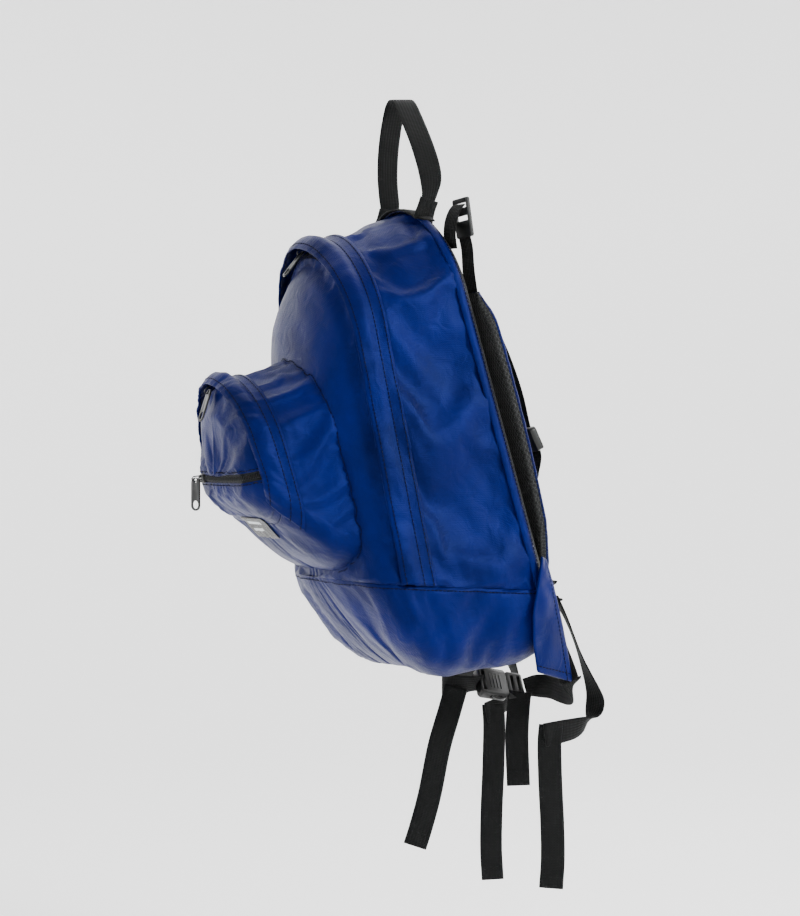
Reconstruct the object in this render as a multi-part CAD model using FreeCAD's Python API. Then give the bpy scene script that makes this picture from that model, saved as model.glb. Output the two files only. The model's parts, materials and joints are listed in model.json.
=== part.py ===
import FreeCAD, Part
import math
import os

V = FreeCAD.Vector

# A teardrop daypack of about 20 litres, hanging from its grab handle.
# World frame: +Z up, -Y the pocket side, +Y the wearer's side, +X the wearer's right.
# The origin is where a hook bears, under the top of the grab handle.
# The pack itself is drawn standing upright in its own frame (x across, v towards the
# wearer with the back face at v = 0, w up from its lowest line) and is then hung.

# ---- driving dimensions, in millimetres and degrees ----
PACK_HEIGHT = 476.0
PACK_DEPTH = 200.0
PACK_HALF_WIDTH = 131.0
CROWN_RADIUS = 98.0
CORNER_RADIUS = 48.0
HANG_TILT = 14.5
HANDLE_RISE = 112.0
HANDLE_SETBACK = 10.0

FABRIC = 3.0
BACK_PAD = 12.0
FOAM_COVER = 2.0
GAP = 0.5
BINDING_WIDTH = 8.0
BINDING_THICK = 1.6

ZIP_DEPTH_TOP = 118.0
ZIP_DEPTH_FOOT = 160.0
TAPE = 5.0
TAPE_THICK = 1.2
SEAM_BACK = 65.0
SEAM_FRONT = 130.0

FLAP_REACH = 9.0
FLAP_HEM = 26.0
FLAP_THICK = 2.0
FLAP_CLEAR = 1.5
HOOD_LIFT = 11.0

POCKET_HALF_WIDTH = 92.0
POCKET_TOP = 352.0
POCKET_PROJECTION = 73.0
POCKET_FOOT = 128.0
POCKET_ZIP_HEIGHT = 254.0
POCKET_ZIP_WIDTH = 12.0
POCKET_ARC_DEPTH = 249.0
POCKET_ARC_FOOT = 196.0
LABEL_WIDTH = 62.0
LABEL_THICK = 1.2

WEBBING = 25.0
WEBBING_THICK = 1.6
STERNUM_WEBBING = 20.0
HANDLE_HALF_SPREAD = 48.0
HANDLE_FLEX = 8.0
TOP_LOCK_HEIGHT = 40.0
LOCK_HEIGHT = 27.0

STRAP_WIDTH = 56.0
STRAP_THICK = 12.0
STRAP_TOP = 376.0
STRAP_FOOT = 74.0
STRAP_CENTRE_TOP = 78.0
STRAP_CENTRE_FOOT = 86.0
STRAP_STANDOFF = 3.0
TOP_LOCK_CENTRE = 452.0

BUCKLE_WIDTH = 33.0
BUCKLE_THICK = 11.0
BUCKLE_AXIS_DROP = 11.0
BUCKLE_ROLL = 50.0
BUCKLE_CLEAR = 0.4

# Direction that the broad faces of the hanging tails run along
TAIL_SIDE = V(0.42, 0.907, 0)

# Rows of: depth share, rise of the bottom, drop of the top, tuck of the sides,
# crown radius share, corner radius share.  They give the pack its pillow shape.
PACK_STATIONS = [
    (0.00, 14, 9, 12, 0.94, 0.85),
    (0.04, 4, 2, 3, 1.00, 1.00),
    (0.25, 0, 0, 0, 1.00, 1.00),
    (0.59, 13, 20, 0, 1.00, 1.05),
    (0.75, 28, 42, 1, 0.98, 1.10),
    (0.86, 55, 82, 5, 0.92, 1.15),
    (0.95, 96, 140, 32, 0.74, 1.00),
    (1.00, 140, 205, 70, 0.48, 0.80),
]
# Rows of: share of the pocket's projection, rise of the bottom, drop of the top,
# tuck of the sides, crown radius, corner radius
POCKET_STATIONS = [
    (-0.40, 0, 0, 0, 84, 36),
    (0.08, 22, 2, 0, 84, 36),
    (0.44, 55, 5, 1, 83, 36),
    (0.73, 82, 9, 2, 80, 34),
    (0.89, 92, 17, 8, 68, 26),
    (1.00, 110, 34, 26, 44, 14),
]


# ---- placing and shared shapes ----
SIN = math.sin(math.radians(HANG_TILT))
COS = math.cos(math.radians(HANG_TILT))
BUILT = {}


def keep(name, shape):
    """Keeps one node, as the single solid that it has to be."""
    solids = shape.Solids
    BUILT[name] = solids[0] if len(solids) == 1 else Part.makeCompound(solids)


def world(x, v, w):
    """A point of the pack's own frame, in the hanging frame."""
    below = PACK_HEIGHT - w
    y = HANDLE_SETBACK + below * SIN + v * COS
    z = -HANDLE_RISE - below * COS + v * SIN
    return V(x, y, z)


def hang(shape):
    """Turns a shape from the pack's own frame into the hanging frame."""
    turn = FreeCAD.Rotation(V(1, 0, 0), HANG_TILT)
    base = world(0, 0, 0)
    moved = shape.copy()
    moved.Placement = FreeCAD.Placement(base, turn).multiply(moved.Placement)
    return moved


def mirrored(shape):
    return shape.mirror(V(0, 0, 0), V(1, 0, 0))


def outline(depth, half_width, bottom, top, crown, corner):
    """Closed teardrop: an arched crown, flared sides and two rounded lower corners."""
    y = -depth
    centre = top - crown
    reach = math.hypot(half_width, bottom - centre)
    lean = math.atan2(bottom - centre, half_width) + math.acos(crown / reach)
    tangent = (crown * math.cos(lean), centre + crown * math.sin(lean))
    along = (tangent[0] - half_width, tangent[1] - bottom)
    size = math.hypot(*along)
    along = (along[0] / size, along[1] / size)
    half_angle = math.acos(-along[0]) / 2
    setback = corner / math.tan(half_angle)
    upper = (half_width + along[0] * setback, bottom + along[1] * setback)
    lower = (half_width - setback, bottom)
    middle = (along[0] - 1, along[1])
    size = math.hypot(*middle)
    far = corner / math.sin(half_angle) - corner
    bend = (half_width + middle[0] / size * far, bottom + middle[1] / size * far)

    def right(p):
        return V(p[0], y, p[1])

    def left(p):
        return V(-p[0], y, p[1])

    return Part.Wire([
        Part.Arc(left(tangent), V(0, y, top), right(tangent)).toShape(),
        Part.LineSegment(right(tangent), right(upper)).toShape(),
        Part.Arc(right(upper), right(bend), right(lower)).toShape(),
        Part.LineSegment(right(lower), left(lower)).toShape(),
        Part.Arc(left(lower), left(bend), left(upper)).toShape(),
        Part.LineSegment(left(upper), left(tangent)).toShape(),
    ])


def pack_form(inset, lift=0.0):
    """The pack's outer form, made smaller by inset, with its crown raised by lift."""
    wires = []
    for share, rise, drop, tuck, crown, corner in PACK_STATIONS:
        depth = share * PACK_DEPTH
        if share == 0:
            depth += inset
        if share == 1:
            depth -= inset
        wires.append(outline(
            depth,
            PACK_HALF_WIDTH - tuck - inset,
            rise + inset,
            PACK_HEIGHT - drop - inset + lift,
            CROWN_RADIUS * crown - inset,
            CORNER_RADIUS * corner - inset,
        ))
    return Part.makeLoft(wires, True, True)


def pocket_form(inset, lift=0.0):
    """The pocket's outer form, running back into the front panel."""
    wires = []
    for share, rise, drop, tuck, crown, corner in POCKET_STATIONS:
        depth = PACK_DEPTH + share * POCKET_PROJECTION
        if share == 1:
            depth -= inset
        wires.append(outline(
            depth,
            POCKET_HALF_WIDTH - tuck - inset,
            POCKET_FOOT + rise + inset,
            POCKET_TOP - drop - inset + lift,
            crown - inset,
            corner - inset,
        ))
    return Part.makeLoft(wires, True, True)


def prism(points, low=-200.0, high=200.0):
    """A block whose side view is a polygon of (v, w) points."""
    corners = [V(low, v, w) for v, w in points]
    face = Part.Face(Part.makePolygon(corners + corners[:1]))
    return face.extrude(V(high - low, 0, 0))


def layer(near, far, bottom=-60.0, top=560.0):
    """The space between two depths behind the pocket side."""
    return prism([(-near, bottom), (-far, bottom), (-far, top), (-near, top)])


def zip_depth(w):
    slope = (ZIP_DEPTH_FOOT - ZIP_DEPTH_TOP) / PACK_HEIGHT
    return ZIP_DEPTH_TOP + (PACK_HEIGHT - w) * slope


def beside_zip(near, far):
    """The slanted space from near to far in front of the main zip's line."""
    low, high = -60.0, 560.0
    return prism([
        (-zip_depth(low) - near, low),
        (-zip_depth(low) - far, low),
        (-zip_depth(high) - far, high),
        (-zip_depth(high) - near, high),
    ])


def seam_height(depth):
    return SEAM_BACK + depth / PACK_DEPTH * (SEAM_FRONT - SEAM_BACK)


def below_seam(shift):
    """Everything under the bottom panel's upper seam."""
    deep = 320.0
    return prism([
        (20, seam_height(-20) + shift),
        (-deep, seam_height(deep) + shift),
        (-deep, -80),
        (20, -80),
    ])


def ribbon(points, side, width, thick):
    """A flat strip along points, as wide as width along side."""
    side = V(side).normalize()
    upper, lower = [], []
    for i, point in enumerate(points):
        before = points[max(i - 1, 0)]
        after = points[min(i + 1, len(points) - 1)]
        arrive = (point - before) if i else (after - point)
        leave = (after - point) if i < len(points) - 1 else arrive
        arrive = V(arrive).normalize()
        leave = V(leave).normalize()
        normal = side.cross(arrive + leave).normalize()
        stretch = thick / 2 / max(normal.dot(side.cross(arrive)), 0.5)
        start = point - side * (width / 2)
        upper.append(start + normal * stretch)
        lower.append(start - normal * stretch)
    ring = upper + lower[::-1]
    face = Part.Face(Part.makePolygon(ring + ring[:1]))
    return face.extrude(side * width)


def slab(x, y, z):
    """A block centred on the origin."""
    return Part.makeBox(x, y, z, V(-x / 2, -y / 2, -z / 2))


def rounded(shape, radius, along):
    """Rounds the edges of a block that run along one axis."""
    edges = [
        e for e in shape.Edges
        if abs((e.Vertexes[1].Point - e.Vertexes[0].Point).normalize().dot(along)) > 0.99
    ]
    return shape.makeFillet(radius, edges)


# ---- the pack's shell ----
def back_panel():
    block = form.common(layer(-5, BACK_PAD))
    depth = PACK_DEPTH * 0.25
    inset = BACK_PAD
    wire = outline(
        depth,
        PACK_HALF_WIDTH - inset,
        inset,
        PACK_HEIGHT - inset,
        CROWN_RADIUS - inset,
        CORNER_RADIUS - inset,
    )
    foam = Part.Face(wire).extrude(V(0, BACK_PAD - 2 * FOAM_COVER, 0))
    foam.translate(V(0, depth - BACK_PAD + FOAM_COVER, 0))
    keep("back_foam", hang(foam))
    keep("back_panel", hang(block.cut(foam)))


def shell_panels():
    """The gusset keeps the strip under the door's fold line, where the main zip ends."""
    shell = form.cut(pack_form(FABRIC)).cut(layer(-5, BACK_PAD))
    low = below_seam(0)
    keep("bottom_panel", hang(shell.common(low)))
    upper = shell.cut(below_seam(GAP))
    under_fold = layer(-50, PACK_DEPTH - 2 * FABRIC, -60, SEAM_FRONT)
    behind = beside_zip(-300, -TAPE)
    keep("gusset_band", hang(upper.common(behind.fuse(under_fold))))
    door = upper.cut(layer(-50, 330, -60, SEAM_FRONT + GAP))
    tapes = door.common(pack_form(FABRIC - TAPE_THICK))
    keep("main_zip_gusset_tape", hang(tapes.common(beside_zip(-TAPE, -GAP / 2))))
    keep("main_zip_panel_tape", hang(tapes.common(beside_zip(GAP / 2, TAPE))))
    keep("front_panel", hang(door.common(beside_zip(TAPE, 300))))


def main_storm_flap():
    skin = FLAP_CLEAR + FLAP_THICK
    hem = pack_form(-skin).cut(form).common(beside_zip(-FLAP_HEM, -FLAP_HEM / 2))
    raised = pack_form(-skin, HOOD_LIFT)
    riser = raised.cut(form).common(beside_zip(-FLAP_HEM / 2, -FLAP_HEM / 2 + FLAP_THICK))
    hood = raised.cut(pack_form(-FLAP_CLEAR, HOOD_LIFT))
    hood = hood.common(beside_zip(-FLAP_HEM / 2, FLAP_REACH))
    flap = hem.fuse([riser, hood]).cut(below_seam(GAP))
    keep("main_storm_flap", hang(flap))


def back_binding():
    band = pack_form(-BINDING_THICK).cut(form)
    band = band.common(layer(BACK_PAD - BINDING_WIDTH / 2, BACK_PAD + BINDING_WIDTH / 2))
    keep("back_binding", hang(band))


# ---- the front pocket ----
def over_pocket_arch(shape):
    """Keeps what runs up the pocket's sides and over its top."""
    lower = prism(
        [(-150, 0), (-330, 0), (-330, POCKET_ARC_FOOT), (-150, POCKET_ARC_FOOT)]
    )
    inside = POCKET_HALF_WIDTH - 16
    middle = prism(
        [(-150, 0), (-330, 0), (-330, POCKET_ZIP_HEIGHT + 20), (-150, POCKET_ZIP_HEIGHT + 20)],
        -inside, inside,
    )
    return shape.cut(lower).cut(middle)


def pocket():
    outer = pocket_form(0).cut(form)
    inner = pocket_form(FABRIC)
    shell = outer.cut(inner)
    arc = over_pocket_arch(layer(POCKET_ARC_DEPTH - TAPE / 2, POCKET_ARC_DEPTH + TAPE / 2))
    face = layer(POCKET_ARC_DEPTH + TAPE / 2, 330)
    keep("pocket_gusset", hang(shell.cut(arc).cut(face)))
    keep("pocket_arc_zip", hang(shell.common(arc)))
    low = POCKET_ZIP_HEIGHT - POCKET_ZIP_WIDTH / 2
    high = POCKET_ZIP_HEIGHT + POCKET_ZIP_WIDTH / 2
    front = shell.common(face)
    keep("pocket_face_lower", hang(front.common(layer(0, 330, -60, low))))
    keep("pocket_front_zip", hang(front.common(layer(0, 330, low, high))))
    keep("pocket_face_upper", hang(front.common(layer(0, 330, high))))

    skin = FLAP_CLEAR + FLAP_THICK
    lift = HOOD_LIFT * 0.75
    hem_near = POCKET_ARC_DEPTH - FLAP_HEM * 0.65
    hem_far = POCKET_ARC_DEPTH - FLAP_HEM * 0.35
    hem = pocket_form(-skin).cut(pocket_form(0)).common(layer(hem_near, hem_far))
    raised = pocket_form(-skin, lift)
    riser = raised.cut(pocket_form(0)).common(layer(hem_far, hem_far + FLAP_THICK))
    hood = raised.cut(pocket_form(-FLAP_CLEAR, lift))
    hood = hood.common(layer(hem_far, POCKET_ARC_DEPTH + FLAP_REACH))
    flap = over_pocket_arch(hem.fuse([riser, hood]))
    keep("pocket_storm_flap", hang(flap))


def label_patch():
    """A woven patch on the sloping facet under the pocket's zip."""
    rows = [POCKET_STATIONS[2], POCKET_STATIONS[3]]
    ends = [
        V(0, -PACK_DEPTH - row[0] * POCKET_PROJECTION, POCKET_FOOT + row[1]) for row in rows
    ]
    middle = (ends[0] + ends[1]) * 0.5
    run = ends[1] - ends[0]
    patch = slab(LABEL_WIDTH, LABEL_THICK, run.Length - 2)
    patch.translate(V(0, -LABEL_THICK / 2, 0))
    lean = math.degrees(math.atan2(-run.y, run.z))
    patch.rotate(V(0, 0, 0), V(1, 0, 0), lean)
    patch.translate(middle)
    keep("label_patch", hang(patch))


# ---- zip sliders and pulls ----
SLIDER_LENGTH = 11.0
SLIDER_WIDTH = 9.0
SLIDER_HEIGHT = 4.0
BAIL_RISE = 3.0
SLIDER_LEAN = 22.0
SLIDER_STANDOFF = 1.6
BAIL_WIRE = 1.2
PULL_WIDTH = 12.5
PULL_LENGTH = 34.0
PULL_THICK = 1.8
PULL_HOLE = 8.4
FACE_PULL_PIN = SLIDER_HEIGHT + BAIL_RISE + 4.0


def slider():
    """A slider on the plane z = 0, with a wire bail across its top."""
    body = slab(SLIDER_LENGTH, SLIDER_WIDTH, SLIDER_HEIGHT)
    body.translate(V(0, 0, SLIDER_HEIGHT / 2))
    body = rounded(body, 2.0, V(0, 0, 1))
    outer = Part.makeBox(BAIL_WIRE, 6, BAIL_RISE, V(-BAIL_WIRE / 2, -3, SLIDER_HEIGHT))
    inner = Part.makeBox(
        BAIL_WIRE, 6 - 2 * BAIL_WIRE, BAIL_RISE - BAIL_WIRE,
        V(-BAIL_WIRE / 2, -3 + BAIL_WIRE, SLIDER_HEIGHT),
    )
    return body.fuse(outer.cut(inner))


def pull_tab():
    """A flat tab hanging down from the origin, with a wide thumb hole at its foot."""
    tab = slab(PULL_WIDTH, PULL_THICK, PULL_LENGTH)
    tab.translate(V(0, 0, 3 - PULL_LENGTH / 2))
    tab = rounded(tab, PULL_WIDTH * 0.45, V(0, 1, 0))
    eye = Part.makeCylinder(2.2, PULL_THICK * 2, V(0, -PULL_THICK, 0), V(0, 1, 0))
    hole_z = 3 - PULL_LENGTH + PULL_WIDTH * 0.5
    hole = Part.makeCylinder(PULL_HOLE / 2, PULL_THICK * 2, V(0, -PULL_THICK, hole_z), V(0, 1, 0))
    return tab.cut(eye).cut(hole)


def place_pull(pin, lean, turn):
    """Hangs a pull from a pin, leaned out about X after a turn about its length."""
    tab = pull_tab()
    tab.rotate(V(0, 0, 0), V(0, 0, 1), turn)
    tab.rotate(V(0, 0, 0), V(1, 0, 0), lean)
    tab.translate(pin)
    return tab


def sliders():
    depth = zip_depth(PACK_HEIGHT)
    top = PACK_HEIGHT - PACK_STATIONS[3][2]
    body = slider()
    body.rotate(V(0, 0, 0), V(1, 0, 0), SLIDER_LEAN)
    body.translate(V(0, -depth, top + SLIDER_STANDOFF))
    keep("main_slider", hang(body))
    pin = world(0, -depth - FLAP_REACH - 4, top - 1.5)
    keep("main_pull", place_pull(pin, -38, 0))

    depth = POCKET_ARC_DEPTH
    top = POCKET_TOP - POCKET_STATIONS[3][2]
    body = slider()
    body.scale(0.75)
    body.rotate(V(0, 0, 0), V(1, 0, 0), SLIDER_LEAN)
    body.translate(V(0, -depth, top + SLIDER_STANDOFF + 0.6))
    keep("pocket_arc_slider", hang(body))
    pin = world(0, -depth - FLAP_REACH - 5, top - 2.5)
    keep("pocket_arc_pull", place_pull(pin, -18, 0))

    face = PACK_DEPTH + POCKET_PROJECTION
    body = slider()
    body.rotate(V(0, 0, 0), V(1, 0, 0), 90)
    body.translate(V(-46, -face - GAP, POCKET_ZIP_HEIGHT))
    keep("pocket_front_slider", hang(body))
    pin = world(-46, -face - FACE_PULL_PIN, POCKET_ZIP_HEIGHT)
    keep("pocket_front_pull", place_pull(pin, 0, 25))


# ---- grab handle ----
def grab_handle():
    seat = -HANDLE_RISE + 4
    foot = seat + HANDLE_FLEX
    drop = WEBBING_THICK / 2
    half = [
        (0, drop), (7, -1), (16, -9), (40, -46), (52, -74),
        (52, -88), (HANDLE_HALF_SPREAD, foot),
    ]
    points = [V(-x, HANDLE_SETBACK / 2, z) for x, z in half[::-1]]
    points += [V(x, HANDLE_SETBACK / 2, z) for x, z in half[1:]]
    keep("grab_handle", ribbon(points, V(0, 1, 0), WEBBING, WEBBING_THICK))
    for name, sign in (("handle_anchor_right", 1), ("handle_anchor_left", -1)):
        foot = world(sign * HANDLE_HALF_SPREAD, 0, PACK_HEIGHT)
        patch = slab(16, WEBBING, 30)
        patch = rounded(patch, 3, V(0, 0, 1))
        patch.translate(V(foot.x, HANDLE_SETBACK / 2, seat - GAP - 15))
        for name_in_way in ("back_panel", "back_binding", "gusset_band"):
            patch = patch.cut(BUILT[name_in_way])
        patch = patch.cut(hang(form))
        keep(name, max(patch.Solids, key=lambda s: s.CenterOfMass.z))


# ---- shoulder straps ----
def strap_outline(v):
    half = STRAP_WIDTH / 2
    top, foot = STRAP_TOP, STRAP_FOOT
    end = WEBBING / 2 + 2
    right = [
        (STRAP_CENTRE_TOP + end, top), (STRAP_CENTRE_TOP + half, top - 34),
        (STRAP_CENTRE_FOOT + half, foot + 60), (STRAP_CENTRE_FOOT + end, foot),
    ]
    left = [
        (STRAP_CENTRE_FOOT - end, foot), (STRAP_CENTRE_FOOT - half, foot + 60),
        (STRAP_CENTRE_TOP - half, top - 34), (STRAP_CENTRE_TOP - end, top),
    ]
    points = [V(x, v, w) for x, w in right + left]
    return Part.Face(Part.makePolygon(points + points[:1]))


def ladder_lock(width, high):
    """A ladder lock lying in the xz plane: a frame with two webbing slots."""
    thick, wall = 4.0, 3.5
    body = rounded(slab(width + 2 * wall, thick, high), 2.5, V(0, 1, 0))
    slot = slab(width + 1, thick * 2, 5.0)
    for z in (high / 2 - 20.5, high / 2 - 7.5):
        hole = slot.copy()
        hole.translate(V(0, 0, z))
        body = body.cut(hole)
    return body


def straps():
    v = STRAP_STANDOFF
    pad = strap_outline(v).extrude(V(0, STRAP_THICK, 0))
    keep_pair("shoulder_strap", hang(pad))

    lock = ladder_lock(WEBBING, LOCK_HEIGHT)
    lock_centre = STRAP_FOOT - 1 - LOCK_HEIGHT / 2
    lock.translate(V(STRAP_CENTRE_FOOT, v + STRAP_THICK / 2 + 4, lock_centre))
    keep_pair("strap_lock", hang(lock))

    upper = ladder_lock(WEBBING, TOP_LOCK_HEIGHT)
    upper.rotate(V(0, 0, 0), V(1, 0, 0), -6)
    upper.translate(V(STRAP_CENTRE_TOP, v + 16, TOP_LOCK_CENTRE))
    keep_pair("top_lock", hang(upper))

    x = STRAP_CENTRE_TOP
    foot = TOP_LOCK_CENTRE - TOP_LOCK_HEIGHT / 2 - 1
    lower_web = [V(x, v + 13, foot), V(x, v + 8, STRAP_TOP + 30)]
    lower_web += [V(x, v + STRAP_THICK / 2, STRAP_TOP + GAP)]
    web = ribbon(lower_web, V(1, 0, 0), WEBBING, WEBBING_THICK)
    keep_pair("strap_top_webbing", hang(web))

    seam = TOP_LOCK_CENTRE - 12
    sewn = [V(x, 1.2, seam - 12), V(x, 1.2, seam)]
    sewn += [V(x, v + 14.2, TOP_LOCK_CENTRE + TOP_LOCK_HEIGHT / 2 - 8.5)]
    web = ribbon(sewn, V(1, 0, 0), WEBBING, WEBBING_THICK)
    keep_pair("top_anchor_webbing", hang(web))


def keep_pair(name, shape):
    keep(name + "_right", shape)
    keep(name + "_left", mirrored(shape))


# ---- sternum strap, hanging undone on the shoulder straps ----
STERNUM_X = 88.0
STERNUM_TOP = 326.0


def sternum():
    face = STRAP_STANDOFF + STRAP_THICK
    web = ribbon(
        [V(STERNUM_X, face + 1.6, STERNUM_TOP), V(STERNUM_X, face + 3.2, STERNUM_TOP - 12),
         V(STERNUM_X, face + 16, STERNUM_TOP - 96)],
        V(1, 0, 0), STERNUM_WEBBING, WEBBING_THICK,
    )
    keep_pair("sternum_webbing", hang(web))
    tail = ribbon(
        [V(STERNUM_X, face + 21, STERNUM_TOP - 124), V(STERNUM_X, face + 15, STERNUM_TOP - 138),
         V(STERNUM_X, face + 4, STERNUM_TOP - 152)],
        V(1, 0, 0), STERNUM_WEBBING, WEBBING_THICK,
    )
    keep_pair("sternum_tail", hang(tail))
    socket = rounded(slab(26, 8, 25), 3, V(0, 1, 0))
    mouth = slab(19, 4.4, 16)
    mouth.translate(V(0, 0, -5))
    plug = rounded(slab(26, 5, 8), 2, V(0, 1, 0))
    plug.translate(V(0, 0, 8.5))
    for x in (-7, 7):
        prong = slab(3.2, 3.6, 17)
        prong.translate(V(x, 0, -4))
        plug = plug.fuse(prong)
    guide = slab(3, 3, 13)
    guide.translate(V(0, 0, -2))
    plug = plug.fuse(guide)
    for name, piece in (("right", socket.cut(mouth)), ("left", plug)):
        piece.rotate(V(0, 0, 0), V(1, 0, 0), 12)
        sign = 1 if name == "right" else -1
        piece.translate(V(sign * STERNUM_X, face + 18.6, STERNUM_TOP - 110))
        label = "sternum_socket" if name == "right" else "sternum_plug"
        keep(label, hang(piece))


# ---- lower corner wings, waist belt and hanging webbing ----
WING_X = 106.0
WING_TIP = V(WING_X, 148, -612)


def wings():
    polygon = [(-2, 92), (-50, 30), (-46, 4), (-18, -14), (4, -44), (11, -46), (12, -34), (8, 30)]
    inner = PACK_HALF_WIDTH - 16
    plate = prism(polygon, inner, PACK_HALF_WIDTH + 3)
    plate = hang(plate).cut(hang(pack_form(-BINDING_THICK)))
    for name in ("strap_lock_right", "shoulder_strap_right"):
        plate = plate.cut(BUILT[name])
    keep_pair("wing", max(plate.Solids, key=lambda s: s.Volume))

    lock = world(STRAP_CENTRE_FOOT, STRAP_STANDOFF + STRAP_THICK / 2 + 4, STRAP_FOOT - 28.5)
    x = STRAP_CENTRE_FOOT
    points = [V(x, lock.y, lock.z - 1), V(x, lock.y + 4, lock.z - 30), V(x, WING_TIP.y - 4, WING_TIP.z + 8)]
    keep_pair("lower_webbing", ribbon(points, V(1, 0, 0), WEBBING, WEBBING_THICK))
    slack = [(8, 0), (18, -14), (36, -52), (56, -96), (50, -122), (34, -131), (12, -136)]
    route = [V(x, lock.y + y, lock.z + z) for y, z in slack]
    keep_pair("slack_webbing", ribbon(route, V(1, 0, 0), WEBBING, WEBBING_THICK))
    return route[-1]


def hanging_tail(top, length, lean):
    """A straight end of webbing with its broad face along TAIL_SIDE."""
    away = V(0, -math.sin(math.radians(lean)), -math.cos(math.radians(lean)))
    side = V(TAIL_SIDE)
    side = (side - away * side.dot(away)).normalize()
    return ribbon([top, top + away * length], side, WEBBING, WEBBING_THICK)


def tails(slack_end):
    clear = 3.0
    top = V(slack_end.x, slack_end.y - 8, slack_end.z - clear)
    keep("strap_tail_right", hanging_tail(top, 158, 0))
    top = V(-slack_end.x, slack_end.y + 12, slack_end.z - clear)
    keep("strap_tail_left", hanging_tail(top, 186, 0))
    keep("belt_tail_right", hanging_tail(V(14, 133, -645), 82, 0))
    keep("belt_tail_left", hanging_tail(V(-2, 62, -634), 156, 16))


def belt_frame(shape):
    """Turns a buckle drawn along +Z (plug end up) to where the belt holds it."""
    turned = shape.copy()
    turned.rotate(V(0, 0, 0), V(0, 0, 1), BUCKLE_ROLL)
    turned.rotate(V(0, 0, 0), V(1, 0, 0), -90 - BUCKLE_AXIS_DROP)
    turned.translate(V(0, 120, -620))
    return turned


def belt():
    width, thick = BUCKLE_WIDTH, BUCKLE_THICK
    socket = rounded(slab(width, thick, 34), 4, V(0, 1, 0))
    socket.translate(V(0, 0, -12))
    cavity = slab(width - 6, thick - 5, 24)
    cavity.translate(V(0, 0, -5))
    window = slab(width + 4, thick - 6, 12)
    window.translate(V(0, 0, -10))
    slot = slab(WEBBING + 1, thick * 2, 4)
    slot.translate(V(0, 0, -24))
    socket = socket.cut(cavity).cut(window).cut(slot)
    keep("belt_socket", belt_frame(socket))

    plug = rounded(slab(width, thick - 3, 20), 3, V(0, 1, 0))
    plug.translate(V(0, 0, 16))
    for z in (13.0, 21.0):
        slot = slab(WEBBING + 1, thick * 2, 3.4)
        slot.translate(V(0, 0, z))
        plug = plug.cut(slot)
    reach = 22.0
    for x in (-9.5, 9.5):
        prong = slab(4.5, thick - 5 - 2 * BUCKLE_CLEAR, reach)
        prong.translate(V(x, 0, 7 - reach / 2))
        plug = plug.fuse(prong)
    guide = slab(4, thick - 5 - 2 * BUCKLE_CLEAR, reach * 0.8)
    guide.translate(V(0, 0, 7 - reach * 0.4))
    keep("belt_plug", belt_frame(plug.fuse(guide)))

    z = -620.0
    up = V(0, 0, 1)
    near = [V(WING_X - 8, 151, z), V(60, 158, z), V(24, 160, z)]
    keep("belt_webbing_right", ribbon(near, up, WEBBING, WEBBING_THICK))
    far = [V(8 - WING_X, 151, z), V(-72, 112, z), V(-34, 66, z), V(-16, 60, z), V(-3, 78, z)]
    keep("belt_webbing_left", ribbon(far, up, WEBBING, WEBBING_THICK))


form = pack_form(0)
back_panel()
shell_panels()
main_storm_flap()
back_binding()
pocket()
label_patch()
sliders()
grab_handle()
straps()
sternum()
tails(wings())
belt()

os.makedirs("parts", exist_ok=True)
for name, shape in BUILT.items():
    shape.exportStep("parts/" + name + ".step")
print(len(BUILT), "nodes written")
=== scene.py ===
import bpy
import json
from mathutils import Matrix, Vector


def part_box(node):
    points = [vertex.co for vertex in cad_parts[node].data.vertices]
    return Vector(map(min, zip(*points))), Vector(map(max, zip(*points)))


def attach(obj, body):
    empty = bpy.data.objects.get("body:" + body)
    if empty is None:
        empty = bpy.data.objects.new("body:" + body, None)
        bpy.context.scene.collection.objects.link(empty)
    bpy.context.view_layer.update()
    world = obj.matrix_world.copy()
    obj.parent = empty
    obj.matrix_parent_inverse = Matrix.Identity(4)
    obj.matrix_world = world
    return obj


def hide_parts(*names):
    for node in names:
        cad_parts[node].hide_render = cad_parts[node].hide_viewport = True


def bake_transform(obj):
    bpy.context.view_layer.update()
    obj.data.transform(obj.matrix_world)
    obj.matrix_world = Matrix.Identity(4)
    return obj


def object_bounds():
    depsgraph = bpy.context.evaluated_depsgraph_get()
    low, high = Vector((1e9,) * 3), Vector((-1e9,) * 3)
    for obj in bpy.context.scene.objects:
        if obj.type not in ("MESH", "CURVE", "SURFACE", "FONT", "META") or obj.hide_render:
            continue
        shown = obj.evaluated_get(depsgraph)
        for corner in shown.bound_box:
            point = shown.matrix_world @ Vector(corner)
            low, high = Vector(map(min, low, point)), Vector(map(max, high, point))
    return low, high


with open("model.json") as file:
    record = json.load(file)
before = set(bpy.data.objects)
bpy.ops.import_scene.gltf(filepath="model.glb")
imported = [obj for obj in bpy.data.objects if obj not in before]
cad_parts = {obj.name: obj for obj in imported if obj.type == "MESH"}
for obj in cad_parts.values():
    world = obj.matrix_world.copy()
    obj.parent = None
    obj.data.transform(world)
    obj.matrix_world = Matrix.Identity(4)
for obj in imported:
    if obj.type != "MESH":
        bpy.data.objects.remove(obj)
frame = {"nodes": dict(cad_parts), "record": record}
cad_box = [list(corner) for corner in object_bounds()]

import json
import math

import bmesh
import bpy
import numpy as np
from mathutils import Matrix, Vector, noise
from mathutils.bvhtree import BVHTree
from mathutils.kdtree import KDTree

# ======================================================================
# STUDIO
# A pale floor running up into a round pale cove, one large soft light from the wearer's
# side, and a weak fill. The camera looks at the pack's right side, a little from
# its front.
# ======================================================================
def linear(code):
    """A colour given as sRGB hex, as the linear values that a shader takes."""
    parts = [int(code[i:i + 2], 16) / 255 for i in (1, 3, 5)]
    return tuple(c / 12.92 if c <= 0.04045 else ((c + 0.055) / 1.055) ** 2.4 for c in parts) + (1,)


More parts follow.
